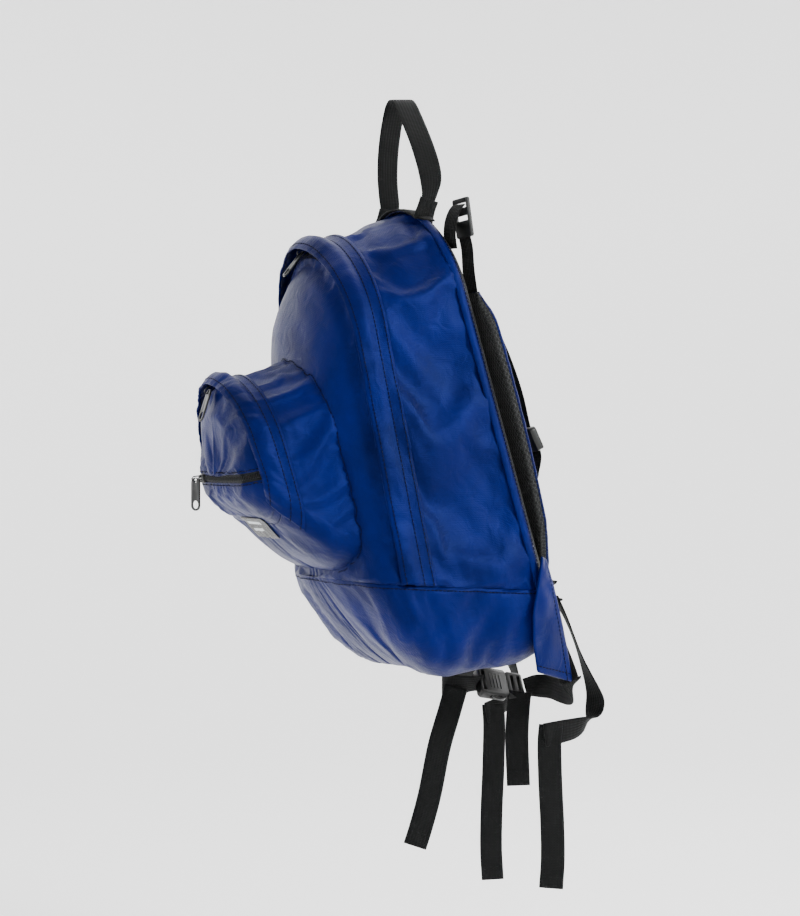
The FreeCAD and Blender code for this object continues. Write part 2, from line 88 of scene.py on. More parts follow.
def node(tree, kind, settings=None, *values, **named):
    """Adds a shader node. Inputs are given in order or by name, as a socket or a value."""
    made = tree.nodes.new(kind)
    for key, value in (settings or {}).items():
        setattr(made, key, value)
    inputs = list(enumerate(values))
    inputs += [(key.replace("_", " "), value) for key, value in named.items()]
    for key, value in inputs:
        if isinstance(value, bpy.types.NodeSocket):
            tree.links.new(value, made.inputs[key])
        else:
            made.inputs[key].default_value = value
    return made


def blank_material(name):
    material = bpy.data.materials.new(name)
    material.use_nodes = True
    return material, material.node_tree, material.node_tree.nodes["Principled BSDF"]


def put_in_scene(thing):
    bpy.context.scene.collection.objects.link(thing)
    return thing


def painted_backdrop():
    """Matt paper, so the light falls off across it with no gloss."""
    material, tree, shader = blank_material("matt_backdrop_paper")
    place = node(tree, "ShaderNodeTexCoord").outputs["Object"]
    grain = node(tree, "ShaderNodeTexNoise", Vector=place, Scale=60.0)
    tint = node(tree, "ShaderNodeMapRange", Value=grain.outputs["Fac"], To_Min=0.93, To_Max=0.97)
    tree.links.new(tint.outputs["Result"], shader.inputs["Base Color"])
    shader.inputs["Roughness"].default_value = 0.95
    shader.inputs["Emission Color"].default_value = linear("#ffffff")
    shader.inputs["Emission Strength"].default_value = 0.32
    return material


AZIMUTH = math.radians(65)
LOOK = Vector((-math.sin(AZIMUTH), math.cos(AZIMUTH), 0))
RIGHT = Vector((math.cos(AZIMUTH), math.sin(AZIMUTH), 0))
FLOOR_Z = cad_box[0][2] - 0.16
FLAT_RADIUS, BEND_RADIUS, WALL_HEIGHT = 1.9, 1.3, 4.2
SPOKES = 96
cove = [(1.0, 0.0)]
for k in range(19):
    bend = math.radians(5 * k)
    cove.append((FLAT_RADIUS + BEND_RADIUS * math.sin(bend), BEND_RADIUS * (1 - math.cos(bend))))
cove.append((FLAT_RADIUS + BEND_RADIUS, WALL_HEIGHT))
wall = [Vector((0, 0, FLOOR_Z))]
for away, rise in cove:
    for k in range(SPOKES):
        turn = 2 * math.pi * k / SPOKES
        wall.append(Vector((away * math.cos(turn), away * math.sin(turn), FLOOR_Z + rise)))
strips = [(0, 1 + k, 1 + (k + 1) % SPOKES) for k in range(SPOKES)]
for i in range(len(cove) - 1):
    for k in range(SPOKES):
        a = 1 + i * SPOKES + k
        b = 1 + i * SPOKES + (k + 1) % SPOKES
        strips.append((a, a + SPOKES, b + SPOKES, b))
mesh = bpy.data.meshes.new("backdrop")
mesh.from_pydata(wall, [], strips)
mesh.polygons.foreach_set("use_smooth", [True] * len(strips))
mesh.materials.append(painted_backdrop())
put_in_scene(bpy.data.objects.new("backdrop", mesh))

FOCAL, SENSOR = 70.0, 36.0
FRAME_HEIGHT = 0.962
aim = Vector((0.0, 0.0, -0.375))


def aimed(name, data, place):
    """Puts a camera or lamp in its place, turned towards the pack's middle."""
    made = put_in_scene(bpy.data.objects.new(name, data))
    made.location = place
    made.rotation_euler = (aim - place).to_track_quat("-Z", "Y").to_euler()
    return made


def softbox(name, place, size, power):
    data = bpy.data.lights.new(name, "AREA")
    data.size = size
    data.energy = power
    aimed(name, data, place)


camera_data = bpy.data.cameras.new("camera")
camera_data.lens = FOCAL
camera_data.sensor_width = SENSOR
bpy.context.scene.camera = aimed("camera", camera_data, aim - LOOK * (FRAME_HEIGHT * FOCAL / SENSOR))


softbox("key", aim - LOOK * 1.3 + RIGHT * 1.9 + Vector((0, 0, 0.9)), 0.7, 74)
softbox("fill", aim - LOOK * 1.6 - RIGHT * 1.6 + Vector((0, 0, 0.8)), 1.2, 3)
softbox("rim", aim + LOOK * 1.0 + RIGHT * 1.2 + Vector((0, 0, 1.5)), 0.8, 24)
softbox("wall_wash", aim + LOOK * 0.5 + Vector((0, 0, 2.4)), 2.4, 60)
world = bpy.data.worlds.new("studio")
world.use_nodes = True
world.node_tree.nodes["Background"].inputs["Color"].default_value = linear("#f4f5f7")
world.node_tree.nodes["Background"].inputs["Strength"].default_value = 0.2
bpy.context.scene.world = world

# ======================================================================
# CLOTH PANELS OF THE SHELL
# Every panel is plain-woven nylon with a thin coat inside. Cut panels are a little
# larger than the gap they are sewn into, so they buckle into soft folds.
# ======================================================================
# The pack is cut and sewn upright, then hangs from its grab handle, so it leans. The
# wearer_back mount gives the lean: its axis points from the pack to the wearer.
PACK_HEIGHT, PACK_DEPTH, HALF_WIDTH = 0.476, 0.200, 0.131
ACROSS = Vector((1, 0, 0))
worn = {m["name"]: m for m in frame["record"]["mounts"]}["wearer_back"]
TO_WEARER = Vector(worn["axis"]).normalized()
UP_PACK = ACROSS.cross(TO_WEARER)
PACK_BASE = Vector(worn["pos_m"]) - UP_PACK * (PACK_HEIGHT / 2)


def hung(x, v, w):
    """A point across, towards the wearer and up the pack, in the hanging frame."""
    return Vector((x, 0, 0)) + PACK_BASE + TO_WEARER * v + UP_PACK * w


def pointing(direction, target):
    """The direction or its opposite, whichever points the target's way."""
    return direction if direction.dot(target) > 0 else -direction


def waves(tree, place, pitches):
    """A ripple along each axis of a place, one per (axis, pitch)."""
    split = node(tree, "ShaderNodeSeparateXYZ", Vector=place)
    made = []
    for axis, pitch in pitches:
        turned = node(tree, "ShaderNodeMath", {"operation": "MULTIPLY"},
                      split.outputs[axis], 2 * math.pi / pitch)
        made.append(node(tree, "ShaderNodeMath", {"operation": "SINE"}, turned.outputs[0]).outputs[0])
    return made


def raised(tree, shader, height, strength, distance, below=None):
    """Bumps a shader by a height, over an earlier bump if one is given."""
    bump = node(tree, "ShaderNodeBump", Strength=strength, Distance=distance, Height=height)
    if below:
        tree.links.new(below.outputs["Normal"], bump.inputs["Normal"])
    tree.links.new(bump.outputs["Normal"], shader.inputs["Normal"])
    return bump


NYLON_BLUE, NYLON_DEEP = "#010842", "#01042c"
THREAD_PITCH = 0.0009      # real threads are 0.25 mm apart; drawn coarser so they show


def coated_nylon(name, light, dark):
    """Plain-woven nylon: a dyed, slightly glossy thread with a fine crinkle."""
    material, tree, shader = blank_material(name)
    place = node(tree, "ShaderNodeTexCoord").outputs["Object"]
    x, y, z = waves(tree, place, [(axis, 2 * THREAD_PITCH) for axis in "XYZ"])
    warp = node(tree, "ShaderNodeMath", {"operation": "MULTIPLY"}, x, z)
    weft = node(tree, "ShaderNodeMath", {"operation": "MULTIPLY"}, y, z)
    weave = node(tree, "ShaderNodeMath", {"operation": "ADD"}, warp.outputs[0], weft.outputs[0])
    bump = raised(tree, shader, weave.outputs[0], 0.25, 0.0002)
    crinkle = node(tree, "ShaderNodeTexNoise", Vector=place, Scale=48.0, Detail=7.0, Distortion=1.2)
    raised(tree, shader, crinkle.outputs["Fac"], 0.3, 0.0035, bump)
    blotch = node(tree, "ShaderNodeTexNoise", Vector=place, Scale=11.0, Detail=4.0)
    colours = node(tree, "ShaderNodeValToRGB", Fac=blotch.outputs["Fac"])
    for stop, position, colour in zip(colours.color_ramp.elements, (0.35, 0.65), (dark, light)):
        stop.position = position
        stop.color = linear(colour)
    tree.links.new(colours.outputs["Color"], shader.inputs["Base Color"])
    rough = node(tree, "ShaderNodeMapRange", Value=crinkle.outputs["Fac"], To_Min=0.34, To_Max=0.5)
    tree.links.new(rough.outputs["Result"], shader.inputs["Roughness"])
    shader.inputs["Specular IOR Level"].default_value = 0.2
    shader.inputs["Specular Tint"].default_value = linear("#5f80ff")
    shader.inputs["Sheen Weight"].default_value = 0.015
    shader.inputs["Sheen Roughness"].default_value = 0.4
    shader.inputs["Sheen Tint"].default_value = linear("#4a78ff")
    return material


# Royal blue pack cloth with a soft shine
nylon = coated_nylon("dyed_plain_weave_nylon", NYLON_BLUE, NYLON_DEEP)

# Depth share, rise of the bottom, drop of the top, tuck of the sides, crown radius,
# corner radius: the pillow shape that the sewn panels take up when filled.
PACK_STATIONS = np.array([
    (0.00, 0.014, 0.009, 0.012, 0.092, 0.041),
    (0.04, 0.004, 0.002, 0.003, 0.098, 0.048),
    (0.25, 0.000, 0.000, 0.000, 0.098, 0.048),
    (0.59, 0.013, 0.020, 0.000, 0.098, 0.050),
    (0.75, 0.028, 0.042, 0.001, 0.096, 0.053),
    (0.86, 0.055, 0.082, 0.005, 0.090, 0.055),
    (0.95, 0.096, 0.140, 0.032, 0.073, 0.048),
    (1.00, 0.140, 0.205, 0.070, 0.047, 0.038),
])


def eased(stations, share, blur):
    """The stations' columns read at a share, with their corners rounded off."""
    near = np.clip(share + np.linspace(-blur, blur, 9), stations[0, 0], stations[-1, 0])
    return [float(np.interp(near, stations[:, 0], column).mean()) for column in stations.T[1:]]


def ring(half, bottom, top, crown, corner, steps=(26, 34, 9, 30)):
    """A teardrop outline as (x, w) points, from the bottom centre round and back."""
    centre = top - crown
    reach = math.hypot(half, bottom - centre)
    lean = math.atan2(bottom - centre, half) + math.acos(min(1, crown / reach))
    tangent = Vector((crown * math.cos(lean), centre + crown * math.sin(lean)))
    foot = Vector((half, bottom))
    along = (tangent - foot).normalized()
    half_angle = math.acos(-along.x) / 2
    setback = corner / math.tan(half_angle)
    upper = foot + along * setback
    lower = foot - Vector((setback, 0))
    middle = foot + (along + Vector((-1, 0))).normalized() * (corner / math.sin(half_angle))
    base, side, bend, arch = steps
    right = [Vector((lower.x * i / base, bottom)) for i in range(base)]
    start = math.atan2(lower.y - middle.y, lower.x - middle.x)
    end = math.atan2(upper.y - middle.y, upper.x - middle.x)
    for i in range(bend):
        a = start + (end - start) * i / bend
        right.append(middle + Vector((math.cos(a), math.sin(a))) * corner)
    right += [upper.lerp(tangent, i / side) for i in range(side)]
    for i in range(arch):
        a = lean + (math.pi / 2 - lean) * i / arch
        right.append(Vector((crown * math.cos(a), centre + crown * math.sin(a))))
    return right + [Vector((0, top))] + [Vector((-p.x, p.y)) for p in right[:0:-1]]


def pillow(rings, dome, centre_w, cap_rings=16):
    """A closed-fronted surface through (depth, outline) rows, in the hanging frame."""
    made = bmesh.new()
    rows = []
    for depth, points in rings:
        rows.append([made.verts.new(hung(p.x, -depth, p.y)) for p in points])
    depth, points = rings[-1]
    middle = Vector((0, centre_w))
    for i in range(1, cap_rings):
        share = 1 - i / cap_rings
        bulge = depth + dome * (1 - share ** 2)
        rows.append([
            made.verts.new(hung(q.x, -bulge, q.y))
            for q in (middle.lerp(p, share) for p in points)
        ])
    tip = made.verts.new(hung(0, -depth - dome, centre_w))
    count = len(points)
    for a, b in zip(rows, rows[1:]):
        for i in range(count):
            j = (i + 1) % count
            made.faces.new((a[i], a[j], b[j], b[i]))
    for i in range(count):
        made.faces.new((rows[-1][i], rows[-1][(i + 1) % count], tip))
    bmesh.ops.recalc_face_normals(made, faces=made.faces)
    middle = hung(0, -rings[-1][0] * 0.8, centre_w)
    if sum((f.calc_center_median() - middle).dot(f.normal) for f in made.faces) < 0:
        bmesh.ops.reverse_faces(made, faces=made.faces)
    return made


def pack_outline(share, outset, blur):
    """The pack's outline at a share of its depth, let out by a little."""
    rise, drop, tuck, crown, corner = eased(PACK_STATIONS, share, blur)
    return ring(HALF_WIDTH - tuck + outset, rise - outset, PACK_HEIGHT - drop + outset,
                crown + outset, corner + outset)


def pack_skin(outset=0.0, start=0.012, rows=46):
    """The pack's outer surface, in front of the back panel."""
    rings = []
    for i in range(rows):
        share = start / PACK_DEPTH + (1 - start / PACK_DEPTH) * i / (rows - 1)
        front = outset if i == rows - 1 else 0
        rings.append((share * PACK_DEPTH + front, pack_outline(share, outset, 0.055)))
    return pillow(rings, 0.003, 0.225)


def trimmed(surface, point, normal):
    """A copy of a surface, with only what lies on the far side of a plane."""
    made = surface.copy()
    geometry = made.verts[:] + made.edges[:] + made.faces[:]
    bmesh.ops.bisect_plane(
        made, geom=geometry, dist=1e-6, plane_co=point, plane_no=normal, clear_inner=True,
    )
    return made


SEAM_BACK, SEAM_FRONT = 0.065, 0.130
# The main zip's slanted plane and the bottom panel's seam plane
ZIP_TOP, ZIP_FOOT = 0.118, 0.160
zip_run = (UP_PACK * PACK_HEIGHT + TO_WEARER * (ZIP_FOOT - ZIP_TOP)).normalized()
ZIP_FORWARD = pointing(ACROSS.cross(zip_run).normalized(), -TO_WEARER)
seam_run = (UP_PACK * (SEAM_FRONT - SEAM_BACK) - TO_WEARER * PACK_DEPTH).normalized()
SEAM_UP = pointing(seam_run.cross(ACROSS).normalized(), UP_PACK)
seam_point = hung(0, 0, SEAM_BACK)


def zip_plane(ahead):
    return hung(0, -ZIP_TOP, PACK_HEIGHT) + ZIP_FORWARD * ahead


def surface_piece(name, made):
    mesh = bpy.data.meshes.new(name)
    made.to_mesh(mesh)
    made.free()
    return put_in_scene(bpy.data.objects.new(name, mesh))


def dressed(piece, body, material):
    """Gives a piece its material, slot and body."""
    if piece.name not in bpy.context.scene.objects:
        put_in_scene(piece)
    piece.data.materials.clear()
    piece.data.materials.append(material)
    piece.data.polygons.foreach_set("use_smooth", [True] * len(piece.data.polygons))
    if body:
        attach(piece, body)
    return piece


def chained(edges):
    """Edges joined end to end, as ordered chains of vertices."""
    left = dict.fromkeys(edges)
    chains = []
    while left:
        edge, _ = left.popitem()
        chain = list(edge.verts)
        for forward in (True, False):
            while True:
                tip = chain[-1] if forward else chain[0]
                follow = [e for e in tip.link_edges if e in left]
                if not follow:
                    break
                left.pop(follow[0])
                chain.insert(len(chain) if forward else 0, follow[0].other_vert(tip))
        chains.append(chain)
    return chains


def border_chains(mesh):
    """The open edges of a surface, as ordered chains of vertex numbers."""
    made = bmesh.new()
    made.from_mesh(mesh)
    open_edges = [e for e in made.edges if len(e.link_faces) == 1]
    chains = [[v.index for v in chain] for chain in chained(open_edges)]
    made.free()
    return chains


def search_tree(points):
    tree = KDTree(len(points))
    for i, here in enumerate(points):
        tree.insert(here, i)
    tree.balance()
    return tree


def creased(piece, depth, long, short, lean, seed):
    """Starts long folds that lean across a panel, fading out at its seams."""
    mesh = piece.data
    rim = search_tree([mesh.vertices[i].co.copy() for chain in border_chains(mesh) for i in chain])
    normals = [v.normal.copy() for v in mesh.vertices]
    run = (UP_PACK * math.cos(lean) + TO_WEARER * math.sin(lean)).normalized()
    over = (UP_PACK * -math.sin(lean) + TO_WEARER * math.cos(lean)).normalized()
    for v, normal in zip(mesh.vertices, normals):
        far = rim.find(v.co)[2]
        skew = v.co.x / short * 0.35
        place = Vector((v.co.dot(run) / long, v.co.dot(over) / short + skew, seed))
        fold = noise.noise(place) + 0.45 * noise.noise(place * 2.1)
        v.co += normal * fold * depth * min(1, far / 0.03)
    mesh.update()


def sewn_in(piece, grow, pressure, weight, cap, frames=22, stiff=0.35, held=None):
    """Lets a panel that is pinned along its seams buckle into soft folds."""
    mesh = piece.data
    rest = np.empty(len(mesh.vertices) * 3)
    mesh.vertices.foreach_get("co", rest)
    rest = rest.reshape(-1, 3)
    pins = piece.vertex_groups.new(name="seam")
    pins.add([i for chain in border_chains(mesh) for i in chain], 1.0, "ADD")
    if held:
        pins.add([v.index for v in mesh.vertices if held(v.co)], 1.0, "REPLACE")
    cloth = piece.modifiers.new("cloth", "CLOTH")
    settings = cloth.settings
    settings.quality = 6
    settings.mass = 0.12
    settings.tension_stiffness = 22
    settings.compression_stiffness = 22
    settings.shear_stiffness = 8
    settings.bending_stiffness = stiff
    settings.vertex_group_mass = "seam"
    settings.shrink_min = -grow
    settings.shrink_max = -grow
    settings.use_pressure = True
    settings.uniform_pressure_force = pressure
    settings.effector_weights.gravity = weight
    settings.air_damping = 3
    cloth.point_cache.frame_start = 1
    cloth.point_cache.frame_end = frames
    scene = bpy.context.scene
    for number in range(1, frames + 1):
        scene.frame_set(number)
    settled = piece.evaluated_get(bpy.context.evaluated_depsgraph_get())
    now = np.empty(len(mesh.vertices) * 3)
    settled.data.vertices.foreach_get("co", now)
    move = now.reshape(-1, 3) - rest
    far = np.linalg.norm(move, axis=1, keepdims=True)
    move *= np.minimum(1, cap / np.maximum(far, 1e-9))
    piece.modifiers.remove(cloth)
    piece.vertex_groups.clear()
    mesh.vertices.foreach_set("co", (rest + move).ravel())
    mesh.update()
    scene.frame_set(1)


def puckered(piece, pitch=0.011, depth=0.0007, fade=0.014):
    """Small ripples that stand across each seam, where the thread gathers the cloth."""
    mesh = piece.data
    points = []
    for chain in border_chains(mesh):
        run = 0.0
        last = None
        for i in chain:
            here = mesh.vertices[i].co
            run += (here - last).length if last is not None else 0.0
            points.append((here.copy(), run))
            last = here
    seams = search_tree([here for here, _ in points])
    normals = [v.normal.copy() for v in mesh.vertices]
    for v, normal in zip(mesh.vertices, normals):
        _, i, far = seams.find(v.co)
        run = points[i][1]
        wander = noise.noise(Vector((run * 40, 0, 3))) * 3
        ripple = math.sin(run / pitch * 2 * math.pi + wander) * (far > 1e-5)
        v.co += normal * ripple * depth * math.exp(-far / fade) * min(1, far / 0.003)
    mesh.update()


def thickened(piece, thick, offset=-1.0, levels=0):
    wall = piece.modifiers.new("wall", "SOLIDIFY")
    wall.thickness = thick
    wall.offset = offset
    if levels:
        soft = piece.modifiers.new("soft", "SUBSURF")
        soft.levels = soft.render_levels = levels
    return piece


PANEL_THICK = 0.0012


def sewn_panel(name, made, body, node_name, folds, buckle, ripple=(0.011, 0.0007), **sewing):
    """A cut panel with its starting folds, sewn in, gathered at its seams and thickened."""
    panel = surface_piece(name, made)
    if folds:
        creased(panel, *folds)
    sewn_in(panel, *buckle, **sewing)
    puckered(panel, *ripple)
    thickened(panel, PANEL_THICK)
    dressed(panel, body, nylon)
    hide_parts(node_name)
    return panel


whole = pack_skin()
above = trimmed(whole, seam_point + SEAM_UP * 0.0003, SEAM_UP)

# Gusset: the side and top walls in one long band, from the back seam to the zip. Its
# front edge lies flat under the storm flap.
gusset = sewn_panel(
    "gusset_cloth", trimmed(above, zip_plane(-0.005), -ZIP_FORWARD), "pack", "gusset_band",
    (0.0055, 0.17, 0.04, -0.42, 1.0), (0.02, 0.6, 0.5, 0.006),
    stiff=2.0, held=lambda p: (p - zip_plane(-0.023)).dot(ZIP_FORWARD) > 0,
)

# Bottom panel: one deep tray below a horizontal seam
bottom = sewn_panel(
    "bottom_cloth", trimmed(whole, seam_point, -SEAM_UP), "pack", "bottom_panel",
    (0.005, 0.11, 0.03, 0.75, 2.0), (0.028, 0.7, 0.8, 0.007), stiff=1.2,
)

# Front panel: folds down on the bottom seam when the main zip is open
front = sewn_panel(
    "front_cloth", trimmed(above, zip_plane(0.005), ZIP_FORWARD), "front_door", "front_panel",
    (0.004, 0.12, 0.03, -0.2, 3.0), (0.03, 0.8, 0.6, 0.007), stiff=0.8,
)

# ======================================================================
# THREAD
# Bonded nylon thread, a shade darker than the cloth. Seams are marked by a row of lockstitch beside
# them, and free edges are hemmed with one row.
# ======================================================================
def toned(tree, shader, place, colour, scale, detail, dark, light):
    """Lets a colour drift between a darker and a lighter share of itself."""
    cloud = node(tree, "ShaderNodeTexNoise", Vector=place, Scale=scale, Detail=detail)
    base = Vector(linear(colour)[:3])
    tone = node(tree, "ShaderNodeMix", {"data_type": "RGBA"}, Factor=cloud.outputs["Fac"])
    tone.inputs[6].default_value = (*(base * dark), 1)
    tone.inputs[7].default_value = (*(base * light), 1)
    tree.links.new(tone.outputs[2], shader.inputs["Base Color"])
    return cloud


def plain_finish(name, colour, rough, bump_scale=0.0, bump=0.0, sheen=0.0, gloss=0.5):
    """A dyed or moulded surface with a fine grain and a little tonal variation."""
    material, tree, shader = blank_material(name)
    place = node(tree, "ShaderNodeTexCoord").outputs["Object"]
    cloud = toned(tree, shader, place, colour, 45.0, 5.0, 0.75, 1.3)
    vary = node(tree, "ShaderNodeMapRange", Value=cloud.outputs["Fac"],
                To_Min=rough - 0.08, To_Max=rough + 0.08)
    tree.links.new(vary.outputs["Result"], shader.inputs["Roughness"])
    shader.inputs["Sheen Weight"].default_value = sheen
    shader.inputs["Specular IOR Level"].default_value = gloss
    if bump:
        grain = node(tree, "ShaderNodeTexNoise", Vector=place, Scale=bump_scale, Detail=4.0)
        raised(tree, shader, grain.outputs["Fac"], 0.5, bump)
    return material


# Dark blue thread for the cloth, black thread for the webbing
thread = plain_finish("bonded_thread", "#01030f", 0.7, gloss=0.08)
dark_thread = plain_finish("black_bonded_thread", "#0a0c0d", 0.65, gloss=0.12)


def collected(name, body, material, verts, faces):
    """Makes one mesh piece that rides on a body."""
    mesh = bpy.data.meshes.new(name)
    mesh.from_pydata([tuple(v) for v in verts], [], faces)
    mesh.update()
    return dressed(bpy.data.objects.new(name, mesh), body, material)


def seam_line(made, point, normal):
    """Where a plane cuts a surface: ordered points with outward normals."""
    cut = made.copy()
    geometry = cut.verts[:] + cut.edges[:] + cut.faces[:]
    found = bmesh.ops.bisect_plane(cut, geom=geometry, dist=1e-7, plane_co=point, plane_no=normal)
    cut.normal_update()
    edges = [e for e in found["geom_cut"] if isinstance(e, bmesh.types.BMEdge)]
    longest = max(chained(edges), key=len, default=[])
    line = [(v.co.copy(), v.normal.copy()) for v in longest]
    cut.free()
    if line and line[0][0].x < line[-1][0].x:
        line.reverse()
    return line


def resampled(line, count):
    """A line as evenly spaced (point, normal) pairs."""
    points = np.array([p for p, _ in line])
    normals = np.array([n for _, n in line])
    run = np.concatenate([[0], np.cumsum(np.linalg.norm(np.diff(points, axis=0), axis=1))])
    at = np.linspace(0, run[-1], count)
    place = np.column_stack([np.interp(at, run, points[:, i]) for i in range(3)])
    facing = np.column_stack([np.interp(at, run, normals[:, i]) for i in range(3)])
    return [(Vector(p), Vector(n).normalized()) for p, n in zip(place, facing)]


def length_of(line):
    return sum((a[0] - b[0]).length for a, b in zip(line, line[1:]))


def surface_tree(*surfaces):
    """A search tree over the outer faces of finished pieces."""
    verts, faces = [], []
    for surface in surfaces:
        base = len(verts)
        verts += [v.co.copy() for v in surface.data.vertices]
        faces += [[base + i for i in f.vertices] for f in surface.data.polygons]
    return BVHTree.FromPolygons(verts, faces)


def laid_on(line, tree, lift=0.0):
    """A line moved onto the nearest surface."""
    moved = []
    for point, normal in line:
        spot, facing, _, _ = tree.find_nearest(point)
        if facing.dot(normal) < 0:
            facing = -facing
        moved.append((spot + facing * lift, facing))
    return moved


STITCH_PITCH, STITCH_RUN, THREAD_WIDE = 0.0042, 0.003, 0.001


def sewn_row(name, body, line, material=thread):
    """One row of lockstitch: a short thread lying in each stitch."""
    spots = resampled(line, max(2, int(length_of(line) / STITCH_PITCH)))
    verts, faces = [], []
    for (here, normal), (after, _) in zip(spots, spots[1:]):
        ahead = (after - here).normalized()
        side = ahead.cross(normal).normalized() * THREAD_WIDE / 2
        base = len(verts)
        for share, rise in ((-0.1, -0.0002), (0.25, 0.0004), (0.75, 0.0004), (1.1, -0.0002)):
            centre = here + ahead * STITCH_RUN * share
            verts += [centre + side + normal * rise, centre - side + normal * rise]
            verts += [centre + normal * (rise + THREAD_WIDE * 0.45)]
        for a in (base, base + 3, base + 6):
            faces += [(a, a + 3, a + 5, a + 2), (a + 2, a + 5, a + 4, a + 1)]
    return collected(name, body, material, verts, faces)


panel_tree = surface_tree(gusset, bottom, front)


def seam_stitches(name, body, surface, point, normal):
    """A row of stitches beside a seam, lying on the shell's panels."""
    line = resampled(seam_line(surface, point, normal), 300)
    sewn_row(name, body, laid_on(line, panel_tree, 0.0002))


# The seam round the bottom panel: one row on the panel under its folded edge
bottom_rim = trimmed(whole, seam_point + SEAM_UP * 0.01, -SEAM_UP)
seam_stitches("bottom_seam_stitches_1", "pack", bottom_rim, seam_point - SEAM_UP * 0.0035, SEAM_UP)

# ======================================================================
# MAIN ZIP
# A coil zip runs up one side, over the crown and down the other. Its two tapes are
# sewn to the gusset and to the front panel.
# ======================================================================
def ribbed(name, colour, across, along, height, rough, sheen=0.4):
    """A narrow woven band, with ribs across it and cords along it."""
    material, tree, shader = blank_material(name)
    flat = node(tree, "ShaderNodeTexCoord").outputs["UV"]
    rib, cord = waves(tree, flat, (("X", along), ("Y", across)))
    both = node(tree, "ShaderNodeMath", {"operation": "ADD"}, rib, cord)
    raised(tree, shader, both.outputs[0], 0.6, height)
    place = node(tree, "ShaderNodeTexCoord").outputs["Object"]
    toned(tree, shader, place, colour, 30.0, 6.0, 0.6, 1.5)
    shader.inputs["Roughness"].default_value = rough
    shader.inputs["Sheen Weight"].default_value = sheen
    shader.inputs["Sheen Roughness"].default_value = 0.5
    shader.inputs["Specular IOR Level"].default_value = 0.12
    return material


# Dull black tape and a slightly shiny black coil
tape_cloth = ribbed("herringbone_zip_tape", "#080a0b", 0.0012, 0.0016, 0.0003, 0.8, 0.08)
coil_nylon = plain_finish("nylon_zip_coil", "#0c0e0f", 0.4, gloss=0.25)
COIL_PITCH = 0.0019        # real coils have a turn each 1 mm; drawn coarser so they show


def banded(name, body, material, rows, wrap=False):
    """A cloth band through rows of (point, normal) pairs, with a UV map in metres."""
    verts = [point for row in rows for point, _ in row]
    count = len(rows[0])
    faces, places = [], []
    run = [0.0]
    for a, b in zip(rows[0], rows[0][1:]):
        run.append(run[-1] + (a[0] - b[0]).length)
    rise = [0.0]
    for a, b in zip(rows, rows[1:]):
        rise.append(rise[-1] + (a[count // 2][0] - b[count // 2][0]).length)
    for r in range(len(rows) - 1):
        for i in range(count - 1 + wrap):
            j = (i + 1) % count
            corner = (r * count + i, r * count + j, (r + 1) * count + j, (r + 1) * count + i)
            faces.append(corner)
            far = run[i + 1] if i + 1 < count else run[i] + 0.004
            places += [(rise[r], run[i]), (rise[r], far), (rise[r + 1], far), (rise[r + 1], run[i])]
    outward = 0.0
    for a, b, c, _ in faces[:count - 1]:
        outward += (verts[b] - verts[a]).cross(verts[c] - verts[a]).dot(rows[0][a % count][1])
    if outward < 0:
        faces = [f[::-1] for f in faces]
        places = [p for k in range(0, len(places), 4) for p in places[k:k + 4][::-1]]
    piece = collected(name, body, material, verts, faces)
    layer = piece.data.uv_layers.new(name="flat")
    layer.data.foreach_set("uv", [c for place in places for c in place])
    return piece


def zip_teeth(name, body, line, side_sign, reach=0.0026):
    """Half of a coil: one loop of nylon per pitch, standing on the edge of its tape."""
    spots = resampled(line, int(length_of(line) / COIL_PITCH))
    section = ((-0.0006, 0.0004), (-0.0002, 0.0013), (reach - 0.0005, 0.0013), (reach, 0.0002))
    verts, faces = [], []
    for (here, normal), (after, _) in zip(spots, spots[1:]):
        ahead = (after - here).normalized()
        side = normal.cross(ahead).normalized() * side_sign
        base = len(verts)
        for across, rise in section:
            centre = here + side * across + normal * rise
            verts += [centre - ahead * COIL_PITCH * 0.3, centre + ahead * COIL_PITCH * 0.3]
            verts += [centre + normal * 0.0004]
        for a in (base, base + 3, base + 6):
            faces += [(a, a + 3, a + 5, a + 2), (a + 2, a + 5, a + 4, a + 1)]
            faces += [(a, a + 1, a + 4, a + 3)]
        faces += [(base, base + 1, base + 2), (base + 9, base + 11, base + 10)]
    return collected(name, body, coil_nylon, verts, faces)


def zip_side(tag, body, made, sign, node_name):
    """One tape of a zip and its half of the coil, a little below the cloth."""
    rows = []
    for i in range(5):
        offset = sign * (0.0004 + 0.0066 * i / 4)
        line = seam_line(made, zip_plane(offset), ZIP_FORWARD)
        rows.append([(p - n * 0.0008, n) for p, n in resampled(line, 240)])
    tape = banded("zip_tape_" + tag, body, tape_cloth, rows)
    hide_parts(node_name)
    zip_teeth("zip_coil_" + tag, body, rows[0], sign)


fold_line = hung(0, 0, SEAM_FRONT + 0.0005)
door_skin = trimmed(above, fold_line, UP_PACK)
zip_side("gusset", "pack", door_skin, -1, "main_zip_gusset_tape")
zip_side("panel", "front_door", door_skin, 1, "main_zip_panel_tape")
front_rim = trimmed(trimmed(above, zip_plane(0.004), ZIP_FORWARD), fold_line, UP_PACK)
seam_stitches("panel_zip_stitches_1", "front_door", front_rim, zip_plane(0.0075), ZIP_FORWARD)

# ======================================================================
# MAIN STORM FLAP
# A doubled strip of cloth is sewn to the gusset behind the zip and lies over it. At
# the crown it stands up in a hood that the slider parks under.
# ======================================================================
def smoothstep(low, high, value):
    t = min(1, max(0, (value - low) / (high - low)))
    return t * t * (3 - 2 * t)


